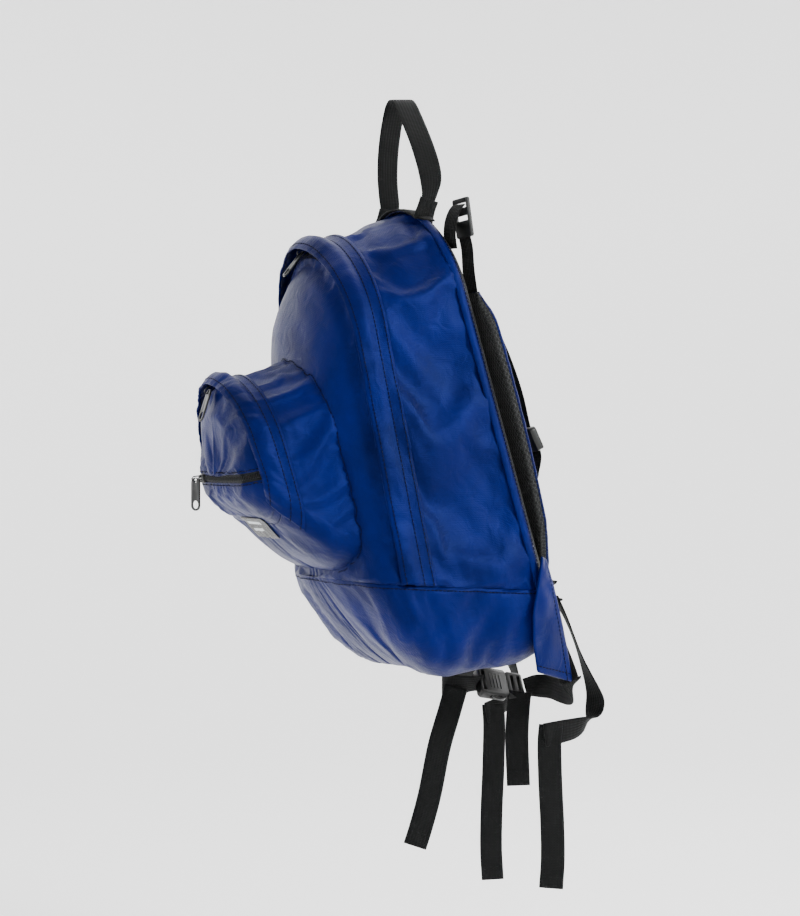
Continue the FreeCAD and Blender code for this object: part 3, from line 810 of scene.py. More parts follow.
def hooded(name, body, skin, ahead, hem, reach, arch_w, hood, hood_width, tree, node_name, steps=300):
    """A storm flap over a zip: sewn flat along its hem, free along its front edge."""
    rows, columns = [], 14
    for r in range(columns):
        a = hem + (reach - hem) * r / (columns - 1)
        line = resampled(seam_line(skin, ahead(a), ahead(1) - ahead(0)), steps)
        row = []
        for i, (point, normal) in enumerate(line):
            s = i / (steps - 1)
            high = smoothstep(arch_w, arch_w + 0.06, (point - PACK_BASE).dot(UP_PACK))
            open_here = smoothstep(hem * 0.55, hem * 0.15, a)
            peak = math.exp(-(point.x / hood_width) ** 2) * high
            lift = 0.0012 + 0.0026 * open_here + hood * peak * open_here
            lift -= 0.0012 * smoothstep(reach * 0.4, reach, a) * (1 - peak)
            wave = noise.noise(Vector((s * 22, a * 60, 1.7))) * 0.0016
            wave += noise.noise(Vector((s * 70, a * 40, 5.1))) * 0.0006
            row.append((point + normal * (lift + wave * (0.35 + open_here)), normal))
        rows.append(row)
    need = np.zeros((columns, steps))
    for r, row in enumerate(rows):
        for i, (point, normal) in enumerate(row):
            hit, _, _, far = tree.ray_cast(point + normal * 0.02, -normal, 0.035)
            if hit is not None:
                need[r, i] = max(0, 0.0212 - far)
    for _ in range(4):
        wide = np.pad(need, 1, mode="edge")
        around = (wide[:-2, 1:-1] + wide[2:, 1:-1] + wide[1:-1, :-2] + wide[1:-1, 2:]) / 4
        need = np.maximum(need, around * 0.96)
    rows = [
        [(point + normal * need[r, i], normal) for i, (point, normal) in enumerate(row)]
        for r, row in enumerate(rows)
    ]
    flap = banded(name, body, nylon, rows)
    thickened(flap, 0.0016, 1.0)
    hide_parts(node_name)
    for number, (share, tag) in enumerate(((0.09, "hem"), (0.36, "hem"), (0.88, "edge"))):
        r = share * (columns - 1)
        low, part = int(r), r - int(r)
        line = [
            (a[0].lerp(b[0], part) + a[1] * 0.0017, a[1])
            for a, b in zip(rows[low], rows[low + 1])
        ]
        sewn_row(f"{name}_{tag}_stitches_{number + 1}", body, line)


flap_skin = trimmed(pack_skin(0.0005), seam_point + SEAM_UP * 0.001, SEAM_UP)
hooded(
    "main_flap", "pack", flap_skin, zip_plane, -0.026, 0.009, 0.36, 0.0105, 0.066,
    panel_tree, "main_storm_flap",
)

# ======================================================================
# FRONT POCKET
# A smaller pillow of the same cloth sewn to the front panel: a gusset, a zip with its
# own storm flap over the arch, and a face with a short zip across it.
# ======================================================================
POCKET_DEPTH = 0.073
POCKET_STATIONS = np.array([
    (-0.40, 0.000, 0.000, 0.000, 0.084, 0.036),
    (0.08, 0.022, 0.002, 0.000, 0.084, 0.036),
    (0.44, 0.055, 0.005, 0.001, 0.083, 0.036),
    (0.73, 0.082, 0.009, 0.002, 0.080, 0.034),
    (0.89, 0.092, 0.017, 0.008, 0.068, 0.026),
    (1.00, 0.110, 0.034, 0.026, 0.044, 0.014),
])
ARC_DEPTH = 0.249
FACE_ZIP = 0.254
ARC_FOOT = hung(0, -0.228, 0.191)      # the arch's lower ends are cut on a slant
ARC_UP = pointing(ACROSS.cross(hung(0, -0.258, 0.228) - ARC_FOOT).normalized(), UP_PACK)


def pocket_skin(outset=0.0, rows=34):
    rings = []
    for i in range(rows):
        share = -0.40 + 1.40 * i / (rows - 1)
        rise, drop, tuck, crown, corner = eased(POCKET_STATIONS, share, 0.07)
        rings.append((PACK_DEPTH + share * POCKET_DEPTH, ring(
            0.092 - tuck + outset, 0.128 + rise - outset, 0.352 - drop + outset,
            crown + outset, corner + outset, (16, 24, 7, 24),
        )))
    return pillow(rings, 0.003, 0.262, 12)


def depth_plane(depth):
    return hung(0, -depth, 0)


pocket = pocket_skin()
front_tree = surface_tree(front)
pocket_gusset = sewn_panel(
    "pocket_gusset_cloth", trimmed(pocket, depth_plane(ARC_DEPTH - 0.0025), TO_WEARER),
    "front_door", "pocket_gusset", None, (0.03, 1.2, 0.4, 0.007), (0.009, 0.0006),
)

# The straight hem below the arch zip's ends joins the gusset to the face
arc_low = trimmed(pocket, depth_plane(ARC_DEPTH - 0.0028), -TO_WEARER)
arc_low = trimmed(arc_low, depth_plane(ARC_DEPTH + 0.0028), TO_WEARER)
arc_low = surface_piece("pocket_gusset_hem", trimmed(arc_low, ARC_FOOT, -ARC_UP))
thickened(arc_low, PANEL_THICK)
dressed(arc_low, "front_door", nylon)

face_skin = trimmed(pocket, depth_plane(ARC_DEPTH + 0.0025), -TO_WEARER)
face_upper = sewn_panel(
    "pocket_face_over_zip", trimmed(face_skin, hung(0, 0, FACE_ZIP + 0.0045), UP_PACK),
    "front_door", "pocket_face_upper", None, (0.03, 1.0, 0.4, 0.006), (0.009, 0.0005),
)
face_lower = sewn_panel(
    "pocket_face_under_zip", trimmed(face_skin, hung(0, 0, FACE_ZIP - 0.0045), -UP_PACK),
    "front_door", "pocket_face_lower", None, (0.03, 1.0, 0.4, 0.006), (0.009, 0.0005),
)
pocket_tree = surface_tree(pocket_gusset, face_upper, face_lower, arc_low)


# The arch zip and its flap
def arc_plane(ahead):
    return hung(0, -ARC_DEPTH - ahead, 0)


arch_skin = trimmed(pocket, ARC_FOOT, ARC_UP)
for sign, tag in ((-1, "back"), (1, "front")):
    rows = []
    for i in range(4):
        line = seam_line(arch_skin, arc_plane(sign * (0.0004 + 0.0032 * i / 3)), -TO_WEARER)
        rows.append([(p - n * 0.0008, n) for p, n in resampled(line, 160)])
    tape = banded("arc_zip_tape_" + tag, "front_door", tape_cloth, rows)
    if sign > 0:
        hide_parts("pocket_arc_zip")
    zip_teeth("arc_zip_coil_" + tag, "front_door", rows[0], sign, reach=0.002)
arch_outer = trimmed(pocket_skin(0.0004), ARC_FOOT + ARC_UP * 0.001, ARC_UP)
hooded(
    "pocket_flap", "front_door", arch_outer, arc_plane, -0.021, 0.009, 0.29, 0.008, 0.052,
    pocket_tree, "pocket_storm_flap", 220,
)

# The short zip across the face: both tapes show, with the coil between them
face_rows = []
for i in range(7):
    w = FACE_ZIP + 0.0065 * (i - 3) / 3
    line = seam_line(face_skin, hung(0, 0, w), UP_PACK)
    face_rows.append([(p - n * 0.0004, n) for p, n in resampled(line, 120)])
face_tape = banded("face_zip_tape", "front_door", tape_cloth, face_rows)
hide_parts("pocket_front_zip")
zip_teeth("face_zip_coil_upper", "front_door", face_rows[3], 1, reach=0.0022)
zip_teeth("face_zip_coil_lower", "front_door", face_rows[3], -1, reach=0.0022)
for offset, tag in ((0.0068, "upper"), (-0.0068, "lower")):
    line = seam_line(face_skin, hung(0, 0, FACE_ZIP + offset), UP_PACK)
    sewn_row("face_zip_stitches_" + tag, "front_door",
             laid_on(resampled(line, 200), pocket_tree, 0.0002))


# The row of stitching round the foot of the pocket, where it meets the front panel
def crossing(made, tree, steps=200):
    """Where the pocket's skin comes out through the front panel."""
    line = []
    centre = hung(0, -0.17, 0.25)
    for i in range(steps):
        a = -0.35 * math.pi + 1.7 * math.pi * i / (steps - 1)
        out = Vector((math.cos(a), 0, 0)) + UP_PACK * math.sin(a)
        spots = []
        for k in range(16):
            start = centre - TO_WEARER * (0.002 + 0.005 * k)
            hit = made.ray_cast(start, out, 0.3)[0]
            if hit is None:
                continue
            near, normal, _, gap = tree.find_nearest(hit)
            if (hit - near).dot(normal) > 0 or (hit - near).dot(TO_WEARER) < 0 and gap > 0.001:
                spots.append((near, normal, gap))
        if spots:
            best = min(spots, key=lambda s: s[2])
            line.append((best[0] + out * 0.004, best[1]))
    return line


pocket_line = laid_on(crossing(pocket_tree, front_tree), front_tree, 0.0003)
sewn_row("pocket_foot_stitches", "front_door", pocket_line)

# ======================================================================
# LABEL
# A woven satin patch sewn under the pocket's short zip. It is left without lettering,
# and two plain bars of pale yarn stand where the words would be.
# ======================================================================
# Black satin weave and a pale yarn for the two bars
label_satin = ribbed("woven_label_satin", "#0b0c0e", 0.0009, 0.0011, 0.0002, 0.45)
label_mark = plain_finish("pale_label_yarn", "#b9bdc0", 0.6, sheen=0.2)
label_low = hung(0, -0.232, 0.183)
label_high = hung(0, -0.2533, 0.210)
label_run = label_high - label_low
label_out = pointing(ACROSS.cross(label_run).normalized(), -TO_WEARER)


def label_spot(x, share, lift):
    start = label_low + label_run * share + Vector((x, 0, 0)) + label_out * 0.02
    hit = pocket_tree.ray_cast(start, -label_out, 0.04)[0]
    if hit is None:
        return start - label_out * 0.02, label_out
    return hit + label_out * lift, label_out


def label_band(name, material, left, right, shares, columns, lift):
    """A patch between two edges, lying on the cloth under it."""
    rows = []
    for share in shares:
        rows.append([
            label_spot(left + (right - left) * i / columns, share, lift) for i in range(columns + 1)
        ])
    return banded(name, "front_door", material, rows)


label_shares = [0.08 + 0.84 * r / 10 for r in range(11)]
label = label_band("label", label_satin, -0.030, 0.030, label_shares, 24, 0.0007)
thickened(label, 0.0006, 1.0)
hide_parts("label_patch")
label_band("label_bar_1", label_mark, -0.021, 0.014, (0.64, 0.75), 12, 0.0017)
label_band("label_bar_2", label_mark, -0.021, 0.004, (0.36, 0.47), 12, 0.0017)

# ======================================================================
# BACK PANEL AND BINDING
# A foam pad covered with black spacer mesh lies against the wearer. A woven tape binds
# its edge to the gusset, with one row of stitching.
# ======================================================================
def hex_mesh(name, colour, pitch):
    """Black spacer mesh: a knitted face with a honeycomb of holes over foam, the holes painted darker
    as the shade that falls inside them.
    """
    material, tree, shader = blank_material(name)
    flat = node(tree, "ShaderNodeTexCoord").outputs["UV"]

    def stepped(operation, value, *amount):
        made = node(tree, "ShaderNodeVectorMath", {"operation": operation}, value, *amount)
        return made.outputs["Value" if operation == "LENGTH" else "Vector"]

    scaled = stepped("MULTIPLY", flat, (1 / pitch, 1 / (pitch * math.sqrt(3)), 0))
    reaches = []
    for shift in (0.0, 0.5):
        part = stepped("FRACTION", stepped("ADD", scaled, (shift, shift, 0)))
        centred = stepped("SUBTRACT", part, (0.5, 0.5, 0))
        reaches.append(stepped("LENGTH", stepped("MULTIPLY", centred, (1, math.sqrt(3), 0))))
    nearest = node(tree, "ShaderNodeMath", {"operation": "MINIMUM"}, *reaches)
    wall = node(tree, "ShaderNodeMapRange", Value=nearest.outputs[0], From_Min=0.28, From_Max=0.4)
    tone = node(tree, "ShaderNodeMix", {"data_type": "RGBA"}, Factor=wall.outputs["Result"])
    # Painted shade: the holes get a darker colour for the shadow inside each hole, and the knitted
    # walls get the mesh's own colour
    tone.inputs[6].default_value = linear("#020303")
    tone.inputs[7].default_value = linear(colour)
    tree.links.new(tone.outputs[2], shader.inputs["Base Color"])
    raised(tree, shader, wall.outputs["Result"], 0.9, 0.0009)
    shader.inputs["Roughness"].default_value = 0.62
    shader.inputs["Sheen Weight"].default_value = 0.06
    shader.inputs["Specular IOR Level"].default_value = 0.2
    return material


# Open black mesh. Real holes are 2 mm apart; drawn wider so the honeycomb shows
spacer = hex_mesh("black_spacer_mesh", "#0e1111", 0.0042)


def mapped(piece, places):
    """Gives each corner its vertex's place on the flat cloth, in metres."""
    layer = piece.data.uv_layers.new(name="flat")
    for loop in piece.data.loops:
        layer.data[loop.index].uv = places[loop.vertex_index]


def back_outline(depth, inset):
    return pack_outline(depth / PACK_DEPTH, -inset, 0.02)


back_rows = []
for depth, inset in ((0.0115, 0.0), (0.007, 0.0), (0.003, 0.0008), (0.0008, 0.0028), (0.0, 0.0055)):
    back_rows.append([hung(p.x, -depth, p.y) for p in back_outline(depth, inset)])
rim = back_outline(0.0, 0.0055)
heart = Vector((0, 0.21))
for i in range(1, 22):
    share = 1 - i / 22
    row = []
    for p in rim:
        q = heart.lerp(p, share)
        swell = 0.0035 * (1 - share ** 4)
        quilt = 0.0016 * math.exp(-((abs(q.x) - 0.03) / 0.005) ** 2) * min(1, 4 * (1 - share))
        row.append(hung(q.x, swell - quilt, q.y))
    back_rows.append(row)
count = len(rim)
verts = [p for row in back_rows for p in row]
faces = []
for r in range(len(back_rows) - 1):
    for i in range(count):
        j = (i + 1) % count
        faces.append((r * count + i, (r + 1) * count + i, (r + 1) * count + j, r * count + j))
tip = len(verts)
verts.append(hung(0, 0.0035, heart.y))
for i in range(count):
    faces.append((tip - count + i, tip, tip - count + (i + 1) % count))
faces.append(tuple(range(count)))
back = collected("back_pad", "pack", spacer, verts, faces)
mapped(back, [(p.x, (p - PACK_BASE).dot(UP_PACK)) for p in verts])
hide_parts("back_panel", "back_foam")

rows = []
for k in range(7):
    depth = 0.0065 + 0.011 * k / 6
    bulge = 0.0014 * math.cos((k - 3) / 3 * 1.35)
    points = back_outline(depth, -0.0004 - bulge)
    row = []
    for i, p in enumerate(points):
        before, after = points[i - 1], points[(i + 1) % len(points)]
        out = Vector((after.y - before.y, before.x - after.x)).normalized()
        out = out if out.dot(p - heart) > 0 else -out
        row.append((hung(p.x, -depth, p.y), (hung(out.x, 0, out.y) - PACK_BASE)))
    rows.append(row)
binding = banded("back_binding_tape", "pack", nylon, rows, wrap=True)
thickened(binding, 0.0008)
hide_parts("back_binding")
sewn_row("binding_stitches", "pack", [(p + n * 0.0003, n) for p, n in rows[1]])

# ======================================================================
# WEBBING
# Flat woven polypropylene, 25 mm wide. Cut ends are folded over and sewn down, and
# bar tacks of black thread hold it where it is sewn on.
# ======================================================================
# Dull black webbing
webbing_weave = ribbed("black_polypropylene_webbing", "#030404", 0.0017, 0.0031, 0.0002, 0.75, 0.03)


def threaded(controls, step=0.0035):
    """A smooth run through controls of (x, y, z, side x, side y, side z, width), in mm."""
    rows = np.array(controls, float)
    rows[:, :3] /= 1000
    rows[:, 6] /= 1000
    rows = np.vstack([2 * rows[0] - rows[1], rows, 2 * rows[-1] - rows[-2]])
    out = []
    for a, b, c, d in zip(rows, rows[1:], rows[2:], rows[3:]):
        count = max(2, int(np.linalg.norm(c[:3] - b[:3]) / step))
        for i in range(count):
            t = i / count
            out.append(0.5 * (2 * b + (c - a) * t + (2 * a - 5 * b + 4 * c - d) * t * t
                              + (3 * b - a - 3 * c + d) * t ** 3))
    out.append(rows[-2])
    return out


SECTION = [(-0.5, 0.0), (-0.48, 0.75), (-0.38, 1.0), (-0.15, 1.0), (0.15, 1.0), (0.38, 1.0),
           (0.48, 0.75), (0.5, 0.0), (0.48, -0.75), (0.38, -1.0), (0.15, -1.0), (-0.15, -1.0),
           (-0.38, -1.0), (-0.48, -0.75)]


def webbing(name, body, controls, *nodes, thick=0.0015, hem=0.0, seed=0.0):
    """A strip of webbing along a run, a little uneven, with an optional sewn hem."""
    run = threaded(controls)
    verts, places, faces = [], [], []
    along = 0.0
    total = sum(np.linalg.norm(b[:3] - a[:3]) for a, b in zip(run, run[1:]))
    frames = []
    for i, row in enumerate(run):
        here = Vector(row[:3])
        before = Vector(run[max(0, i - 1)][:3])
        after = Vector(run[min(len(run) - 1, i + 1)][:3])
        along += (here - before).length
        ahead = (after - before).normalized()
        side = Vector(row[3:6])
        side = (side - ahead * side.dot(ahead)).normalized()
        out = ahead.cross(side)
        half = thick / 2 * (1 + smoothstep(total - hem, total - hem + 0.001, along) * (hem > 0))
        wander = noise.noise(Vector((along * 14, seed, 2.0))) * 0.0011
        twist = noise.noise(Vector((along * 9, seed, 9.0))) * 0.0016
        frames.append((here + out * wander, ahead, side, out, row[6], half, along))
        for across, high in SECTION:
            lift = high * half + wander + twist * across * 2
            verts.append(here + side * row[6] * across + out * lift)
            places.append((across * row[6], along))
    n = len(SECTION)
    for i in range(len(run) - 1):
        for k in range(n):
            j = (k + 1) % n
            faces.append((i * n + k, i * n + j, (i + 1) * n + j, (i + 1) * n + k))
    faces.append(tuple(range(n))[::-1])
    faces.append(tuple(range((len(run) - 1) * n, len(run) * n)))
    strip = collected(name, None, webbing_weave, verts, faces)
    turned = bmesh.new()
    turned.from_mesh(strip.data)
    bmesh.ops.recalc_face_normals(turned, faces=turned.faces)
    turned.to_mesh(strip.data)
    turned.free()
    mapped(strip, places)
    if body:
        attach(strip, body)
    if nodes:
        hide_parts(*nodes)
    return strip, frames


def bar_tack(name, body, frame_at, rows=3, length=0.018, spread=0.0012, faces=(1, -1)):
    """Rows of thread across a strip, on both of its faces unless told otherwise."""
    here, ahead, side, out, wide, half, _ = frame_at
    length = min(length, wide * 0.8)
    lines = []
    for face in faces:
        for r in range(rows):
            start = here + ahead * spread * (r - rows / 2) + out * face * (half + 0.0001)
            lines.append([(start + side * length * (k / 6 - 0.5), out * face) for k in range(7)])
    for k, line in enumerate(lines):
        sewn_row(f"{name}_{k + 1}", body, line, dark_thread)


def frame_near(frames, share):
    return frames[min(len(frames) - 1, int(share * (len(frames) - 1)))]


# ======================================================================
# GRAB HANDLE
# One length of webbing makes a loop over the crown. Its two ends turn in at their feet,
# and are caught in the seam between the crown and the back panel.
# ======================================================================
Y = (0, 1, 0)
half_loop = [
    (0.0, 0.0, 0.8, *Y, 25),
    (7, 0.2, -1.2, *Y, 25),
    (15, 0.6, -8.5, 0.04, 1, 0, 25),
    (28, 2.2, -27, 0.1, 1, 0, 25),
    (41, 5.0, -50, 0.16, 1, 0, 25),
    (50, 8.5, -74, 0.2, 1, 0, 25),
    (52, 10.5, -90, 0.1, 1, 0, 24),
    (49, 10.5, -104, -0.2, 1, 0, 21),
    (46, 8.0, -118, -0.35, 1, 0, 18),
    (45, 5.0, -130, -0.4, 1, 0, 19),
]
loop = [(-x, y, z, -a, b, c, s) for x, y, z, a, b, c, s in half_loop[:0:-1]] + half_loop
handle = webbing("handle_webbing", None, loop, "grab_handle")[0]
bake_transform(handle)
crown_rows = []
for k in range(6):
    line = seam_line(pack_skin(0.0022, 0.001), depth_plane(0.0012 + 0.02 * k / 5), -TO_WEARER)
    over = [(p, n) for p, n in line if abs(p.x) < 0.056 and (p - PACK_BASE).dot(UP_PACK) > 0.3]
    over.sort(key=lambda spot: -spot[0].x)
    crown_rows.append(resampled(over, 40))
crown_tape = banded("crown_webbing", "pack", webbing_weave, crown_rows)
thickened(crown_tape, 0.0014, 1.0)
for side, sign in (("right", 1), ("left", -1)):
    base = [
        (sign * 49, 10.5, -109, -0.2 * sign, 1, 0, 23),
        (sign * 46.5, 8.0, -119, -0.35 * sign, 1, 0, 25),
        (sign * 45, 5.0, -131, -0.4 * sign, 1, 0, 30),
    ]
    frames = webbing("handle_base_" + side, "pack", base, "handle_anchor_" + side, thick=0.0046)[1]
    bar_tack("handle_bar_tack_" + side, "pack", frame_near(frames, 0.45), rows=4)

# ======================================================================
# SHOULDER STRAPS
# Foam pads with nylon on the outside and spacer mesh against the body. The edges are
# turned and sewn, so the pad is full in the middle and thin at its rim.
# ======================================================================
def strap_section(t, angle, grow=0.0):
    """A point of the pad's skin: t runs down the strap, angle round its section."""
    w = 376 - 302 * t
    centre = 78 + 8 * t
    half = 14.5 + 13.5 * smoothstep(0.0, 0.12, t) - 13.5 * smoothstep(0.78, 1.0, t)
    deep = 3.0 + 4.0 * smoothstep(0.0, 0.07, t) - 3.4 * smoothstep(0.93, 1.0, t)
    c, s = math.cos(angle), math.sin(angle)
    power = 2 / 4.2
    across = math.copysign(abs(c) ** power, c) * (half + grow)
    out = math.copysign(abs(s) ** power, s) * (deep + grow)
    ripple = noise.noise(Vector((t * 30, across * 0.06, 4.0))) * 0.9
    crease = noise.noise(Vector((t * 75, across * 0.02, 8.0))) * 0.35
    out += (ripple + crease) * (1 if s > 0 else -0.5) * abs(s)
    pinch = 0.6 * math.sin(t * 150) * abs(c) ** 6
    v = 9.4 + 6.5 * math.sin(math.pi * t) ** 0.8 + out
    return centre + across - math.copysign(pinch, c), v, w


def strap_skin(name, body, material, low, high, steps, grow, mirror, closed):
    rows_down = 96
    verts, places, faces = [], [], []
    for r in range(rows_down):
        t = r / (rows_down - 1)
        run, last = 0.0, None
        for i in range(steps):
            angle = low + (high - low) * i / (steps if closed else steps - 1)
            x, v, w = strap_section(t, angle, grow)
            here = Vector((x, v, w))
            run += (here - last).length / 1000 if last else 0.0
            last = here
            verts.append(hung(mirror * x / 1000, v / 1000, w / 1000))
            places.append((run, t * 0.302))
    for r in range(rows_down - 1):
        for i in range(steps - (not closed)):
            j = (i + 1) % steps
            faces.append((r * steps + i, r * steps + j, (r + 1) * steps + j, (r + 1) * steps + i))
    if closed:
        faces.append(tuple(range(steps))[::-1])
        faces.append(tuple(range((rows_down - 1) * steps, rows_down * steps)))
    faces = [f[::-1] for f in faces] if mirror > 0 else faces
    piece = collected(name, body, material, verts, faces)
    mapped(piece, places)
    return piece


for side, sign in (("right", 1), ("left", -1)):
    body = "strap_" + side
    pad = strap_skin("strap_pad_" + side, body, nylon, 0, 2 * math.pi, 56, 0.0, sign, True)
    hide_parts("shoulder_strap_" + side)
    strap_skin("strap_mesh_" + side, body, spacer,
               math.pi * 0.995, math.pi * 2.005, 40, 0.35, sign, False)
    for tag, angle in (("outer", 0.06), ("inner", math.pi - 0.06)):
        line = []
        for r in range(120):
            x, v, w = strap_section(0.02 + 0.96 * r / 119, angle, 0.3)
            out = hung(sign * math.cos(angle) * 0.6, math.sin(angle) + 0.3, 0) - PACK_BASE
            line.append((hung(sign * x / 1000, v / 1000, w / 1000), out.normalized()))
        sewn_row(f"strap_stitches_{tag}_{side}", body, line)

# ======================================================================
# TOP LADDER LOCKS
# Moulded nylon locks join the pads to the crown. The anchor webbing comes up from the
# back seam into the upper slot, and the strap webbing hangs from the lower one.
# ======================================================================
# Matt moulded nylon for the ladder locks, smoother acetal for the buckles, and black
# paint over zinc for the sliders
grey_nylon = plain_finish("moulded_grey_nylon", "#0b0d0e", 0.45, 900, 0.00006, gloss=0.28)
black_acetal = plain_finish("moulded_black_acetal", "#060707", 0.32, 700, 0.00003, gloss=0.25)
painted_zinc = plain_finish("black_painted_zinc", "#090a0b", 0.32, 500, 0.00003, gloss=0.4)


def moulded(name, node_name, body, material, edge=0.0006):
    """A moulded part at its CAD size, with its edges eased."""
    source = frame["nodes"][node_name]
    mesh = bpy.data.meshes.new(name)
    made = bmesh.new()
    made.from_mesh(source.data)
    made.transform(source.matrix_world)
    bmesh.ops.remove_doubles(made, verts=made.verts, dist=1e-6)
    bmesh.ops.dissolve_limit(made, angle_limit=0.02, verts=made.verts, edges=made.edges)
    made.to_mesh(mesh)
    made.free()
    piece = dressed(bpy.data.objects.new(name, mesh), body, material)
    eased_edge = piece.modifiers.new("eased", "BEVEL")
    eased_edge.width = edge
    eased_edge.segments = 2
    eased_edge.limit_method = "ANGLE"
    eased_edge.angle_limit = 0.6
    eased_edge.harden_normals = True
    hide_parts(node_name)
    return piece


def wire(name, body, material, points, radius, sides=8):
    """A round wire or rod along points."""
    verts, faces = [], []
    for i, here in enumerate(points):
        before = points[max(0, i - 1)]
        after = points[min(len(points) - 1, i + 1)]
        ahead = (after - before).normalized()
        side = side - ahead * side.dot(ahead) if i else ahead.orthogonal()
        side.normalize()
        up = ahead.cross(side)
        for k in range(sides):
            a = 2 * math.pi * k / sides
            verts.append(here + (side * math.cos(a) + up * math.sin(a)) * radius)
    for a in range(0, (len(points) - 1) * sides, sides):
        for k in range(sides):
            j = (k + 1) % sides
            faces.append((a + k, a + j, a + sides + j, a + sides + k))
    faces += [tuple(range(sides))[::-1], tuple(range(len(verts) - sides, len(verts)))]
    return collected(name, body, material, verts, faces)


def placed(x, v, w):
    """A control point in the pack's own millimetres, as hanging millimetres."""
    return tuple(c * 1000 for c in hung(x / 1000, v / 1000, w / 1000))


X = (1, 0, 0)
for side, sign in (("right", 1), ("left", -1)):
    lock = "top_lock_" + side
    moulded("top_lock_body_" + side, lock, lock, grey_nylon, 0.0008)
    for number, w in enumerate((434.5, 469.5)):
        v = 19 - 0.105 * (452 - w)
        ends = [hung(sign * x / 1000, (v + 2.2) / 1000, w / 1000) for x in (65, 78, 91)]
        wire(f"top_lock_lip_{side}_{number + 1}", lock, grey_nylon, ends, 0.0013)
    anchor = [
        (*placed(sign * 74, 0.4, 424), *X, 25),
        (*placed(sign * 75, 1.4, 438), *X, 25),
        (*placed(sign * 77, 5.5, 452), *X, 25),
        (*placed(sign * 78, 12.5, 462), *X, 25),
        (*placed(sign * 78, 17.6, 465.6), *X, 25),
    ]
    frames = webbing("top_anchor_strip_" + side, "pack", anchor, "top_anchor_webbing_" + side,
                     seed=3.0)[1]
    bar_tack("top_anchor_bar_tack_" + side, "pack", frame_near(frames, 0.14))
    upper = [
        (*placed(sign * 78, 16, 433), *X, 25),
        (*placed(sign * 78, 15.6, 420), *X, 25),
        (*placed(sign * 78, 11.5, 398), *X, 25),
        (*placed(sign * 78, 9.4, 377), *X, 25),
        (*placed(sign * 78, 9.4, 370), *X, 24),
    ]
    webbing("top_strap_strip_" + side, "pack", upper, "strap_top_webbing_" + side, seed=5.0)

# ======================================================================
# STERNUM STRAP
# Two short lengths hang undone from the pads. The right one ends in a socket, the left
# one in a plug, each with a free tail of webbing.
# ======================================================================
for side, sign in (("right", 1), ("left", -1)):
    body = "sternum_" + side
    x = sign * 88
    upper = [
        (*placed(x, 21.4, 330), *X, 20),
        (*placed(x, 22.4, 322), *X, 20),
        (*placed(x, 23.6, 305), 1, 0.25 * sign, 0, 20),
        (*placed(x, 27.0, 270), 1, 0.45 * sign, 0, 20),
        (*placed(x, 30.5, 236), 1, 0.1 * sign, 0, 20),
        (*placed(x, 31.6, 229), *X, 20),
    ]
    frames = webbing("sternum_strip_" + side, body, upper, "sternum_webbing_" + side,
                     seed=7.0 + sign)[1]
    bar_tack("sternum_bar_tack_" + side, body, frame_near(frames, 0.06), length=0.014, faces=(1,))
    tail = [
        (*placed(x, 36.2, 203), *X, 20),
        (*placed(x, 35.6, 196), *X, 20),
        (*placed(x, 31.5, 187), *X, 20),
        (*placed(x, 25.0, 176), *X, 20),
    ]
    webbing("sternum_end_" + side, body, tail, "sternum_tail_" + side, hem=0.008, seed=8.0)
moulded("sternum_socket_body", "sternum_socket", "sternum_right", black_acetal, 0.0007)
moulded("sternum_plug_body", "sternum_plug", "sternum_left", black_acetal, 0.0005)

# ======================================================================
# WINGS
# Doubled nylon triangles are sewn into the lower back corners, and carry the webbing
# of the shoulder straps and of the waist belt.
# ======================================================================
INNER = [(128, 98, -474), (131, 92, -500), (131, 86, -530), (128, 88, -560), (120, 97, -592)]
OUTER = [(121, 106, -477), (120, 116, -505), (117, 126, -535), (113, 136, -568), (107, 146, -606)]


WING_OUT = Vector((0.93, -0.3, -0.1)).normalized()


def edge_point(points, t):
    t = min(t, 0.9999) * (len(points) - 1)
    i = int(t)
    return Vector(points[i]).lerp(Vector(points[i + 1]), t - i) / 1000


for side, sign in (("right", 1), ("left", -1)):
    rows = []
    for r in range(15):
        u = r / 14
        row = []
        for i in range(34):
            t = i / 33
            swell = 0.0022 * math.sin(math.pi * u) * math.sin(math.pi * min(1, t * 1.1))
            fold = noise.noise(Vector((u * 2.2 + t, t * 7, 3.3 * sign))) * 0.0024 * min(1, u * 4)
            here = edge_point(INNER, t).lerp(edge_point(OUTER, t), u) + WING_OUT * (swell + fold)
            mirror = Vector((sign, 1, 1))
            row.append((here * mirror, WING_OUT * mirror))
        rows.append(row)
    wing = banded("wing_cloth_" + side, "pack", nylon, rows)
    thickened(wing, 0.0028, 0.0, 1)
    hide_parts("wing_" + side)
    rim = [(p + n * 0.0017, n) for p, n in rows[12]]
    sewn_row("wing_stitches_" + side, "pack", rim)
    foot = [(row[31][0] + row[31][1] * 0.0017, row[31][1]) for row in rows]
    sewn_row("wing_foot_stitches_" + side, "pack", foot)

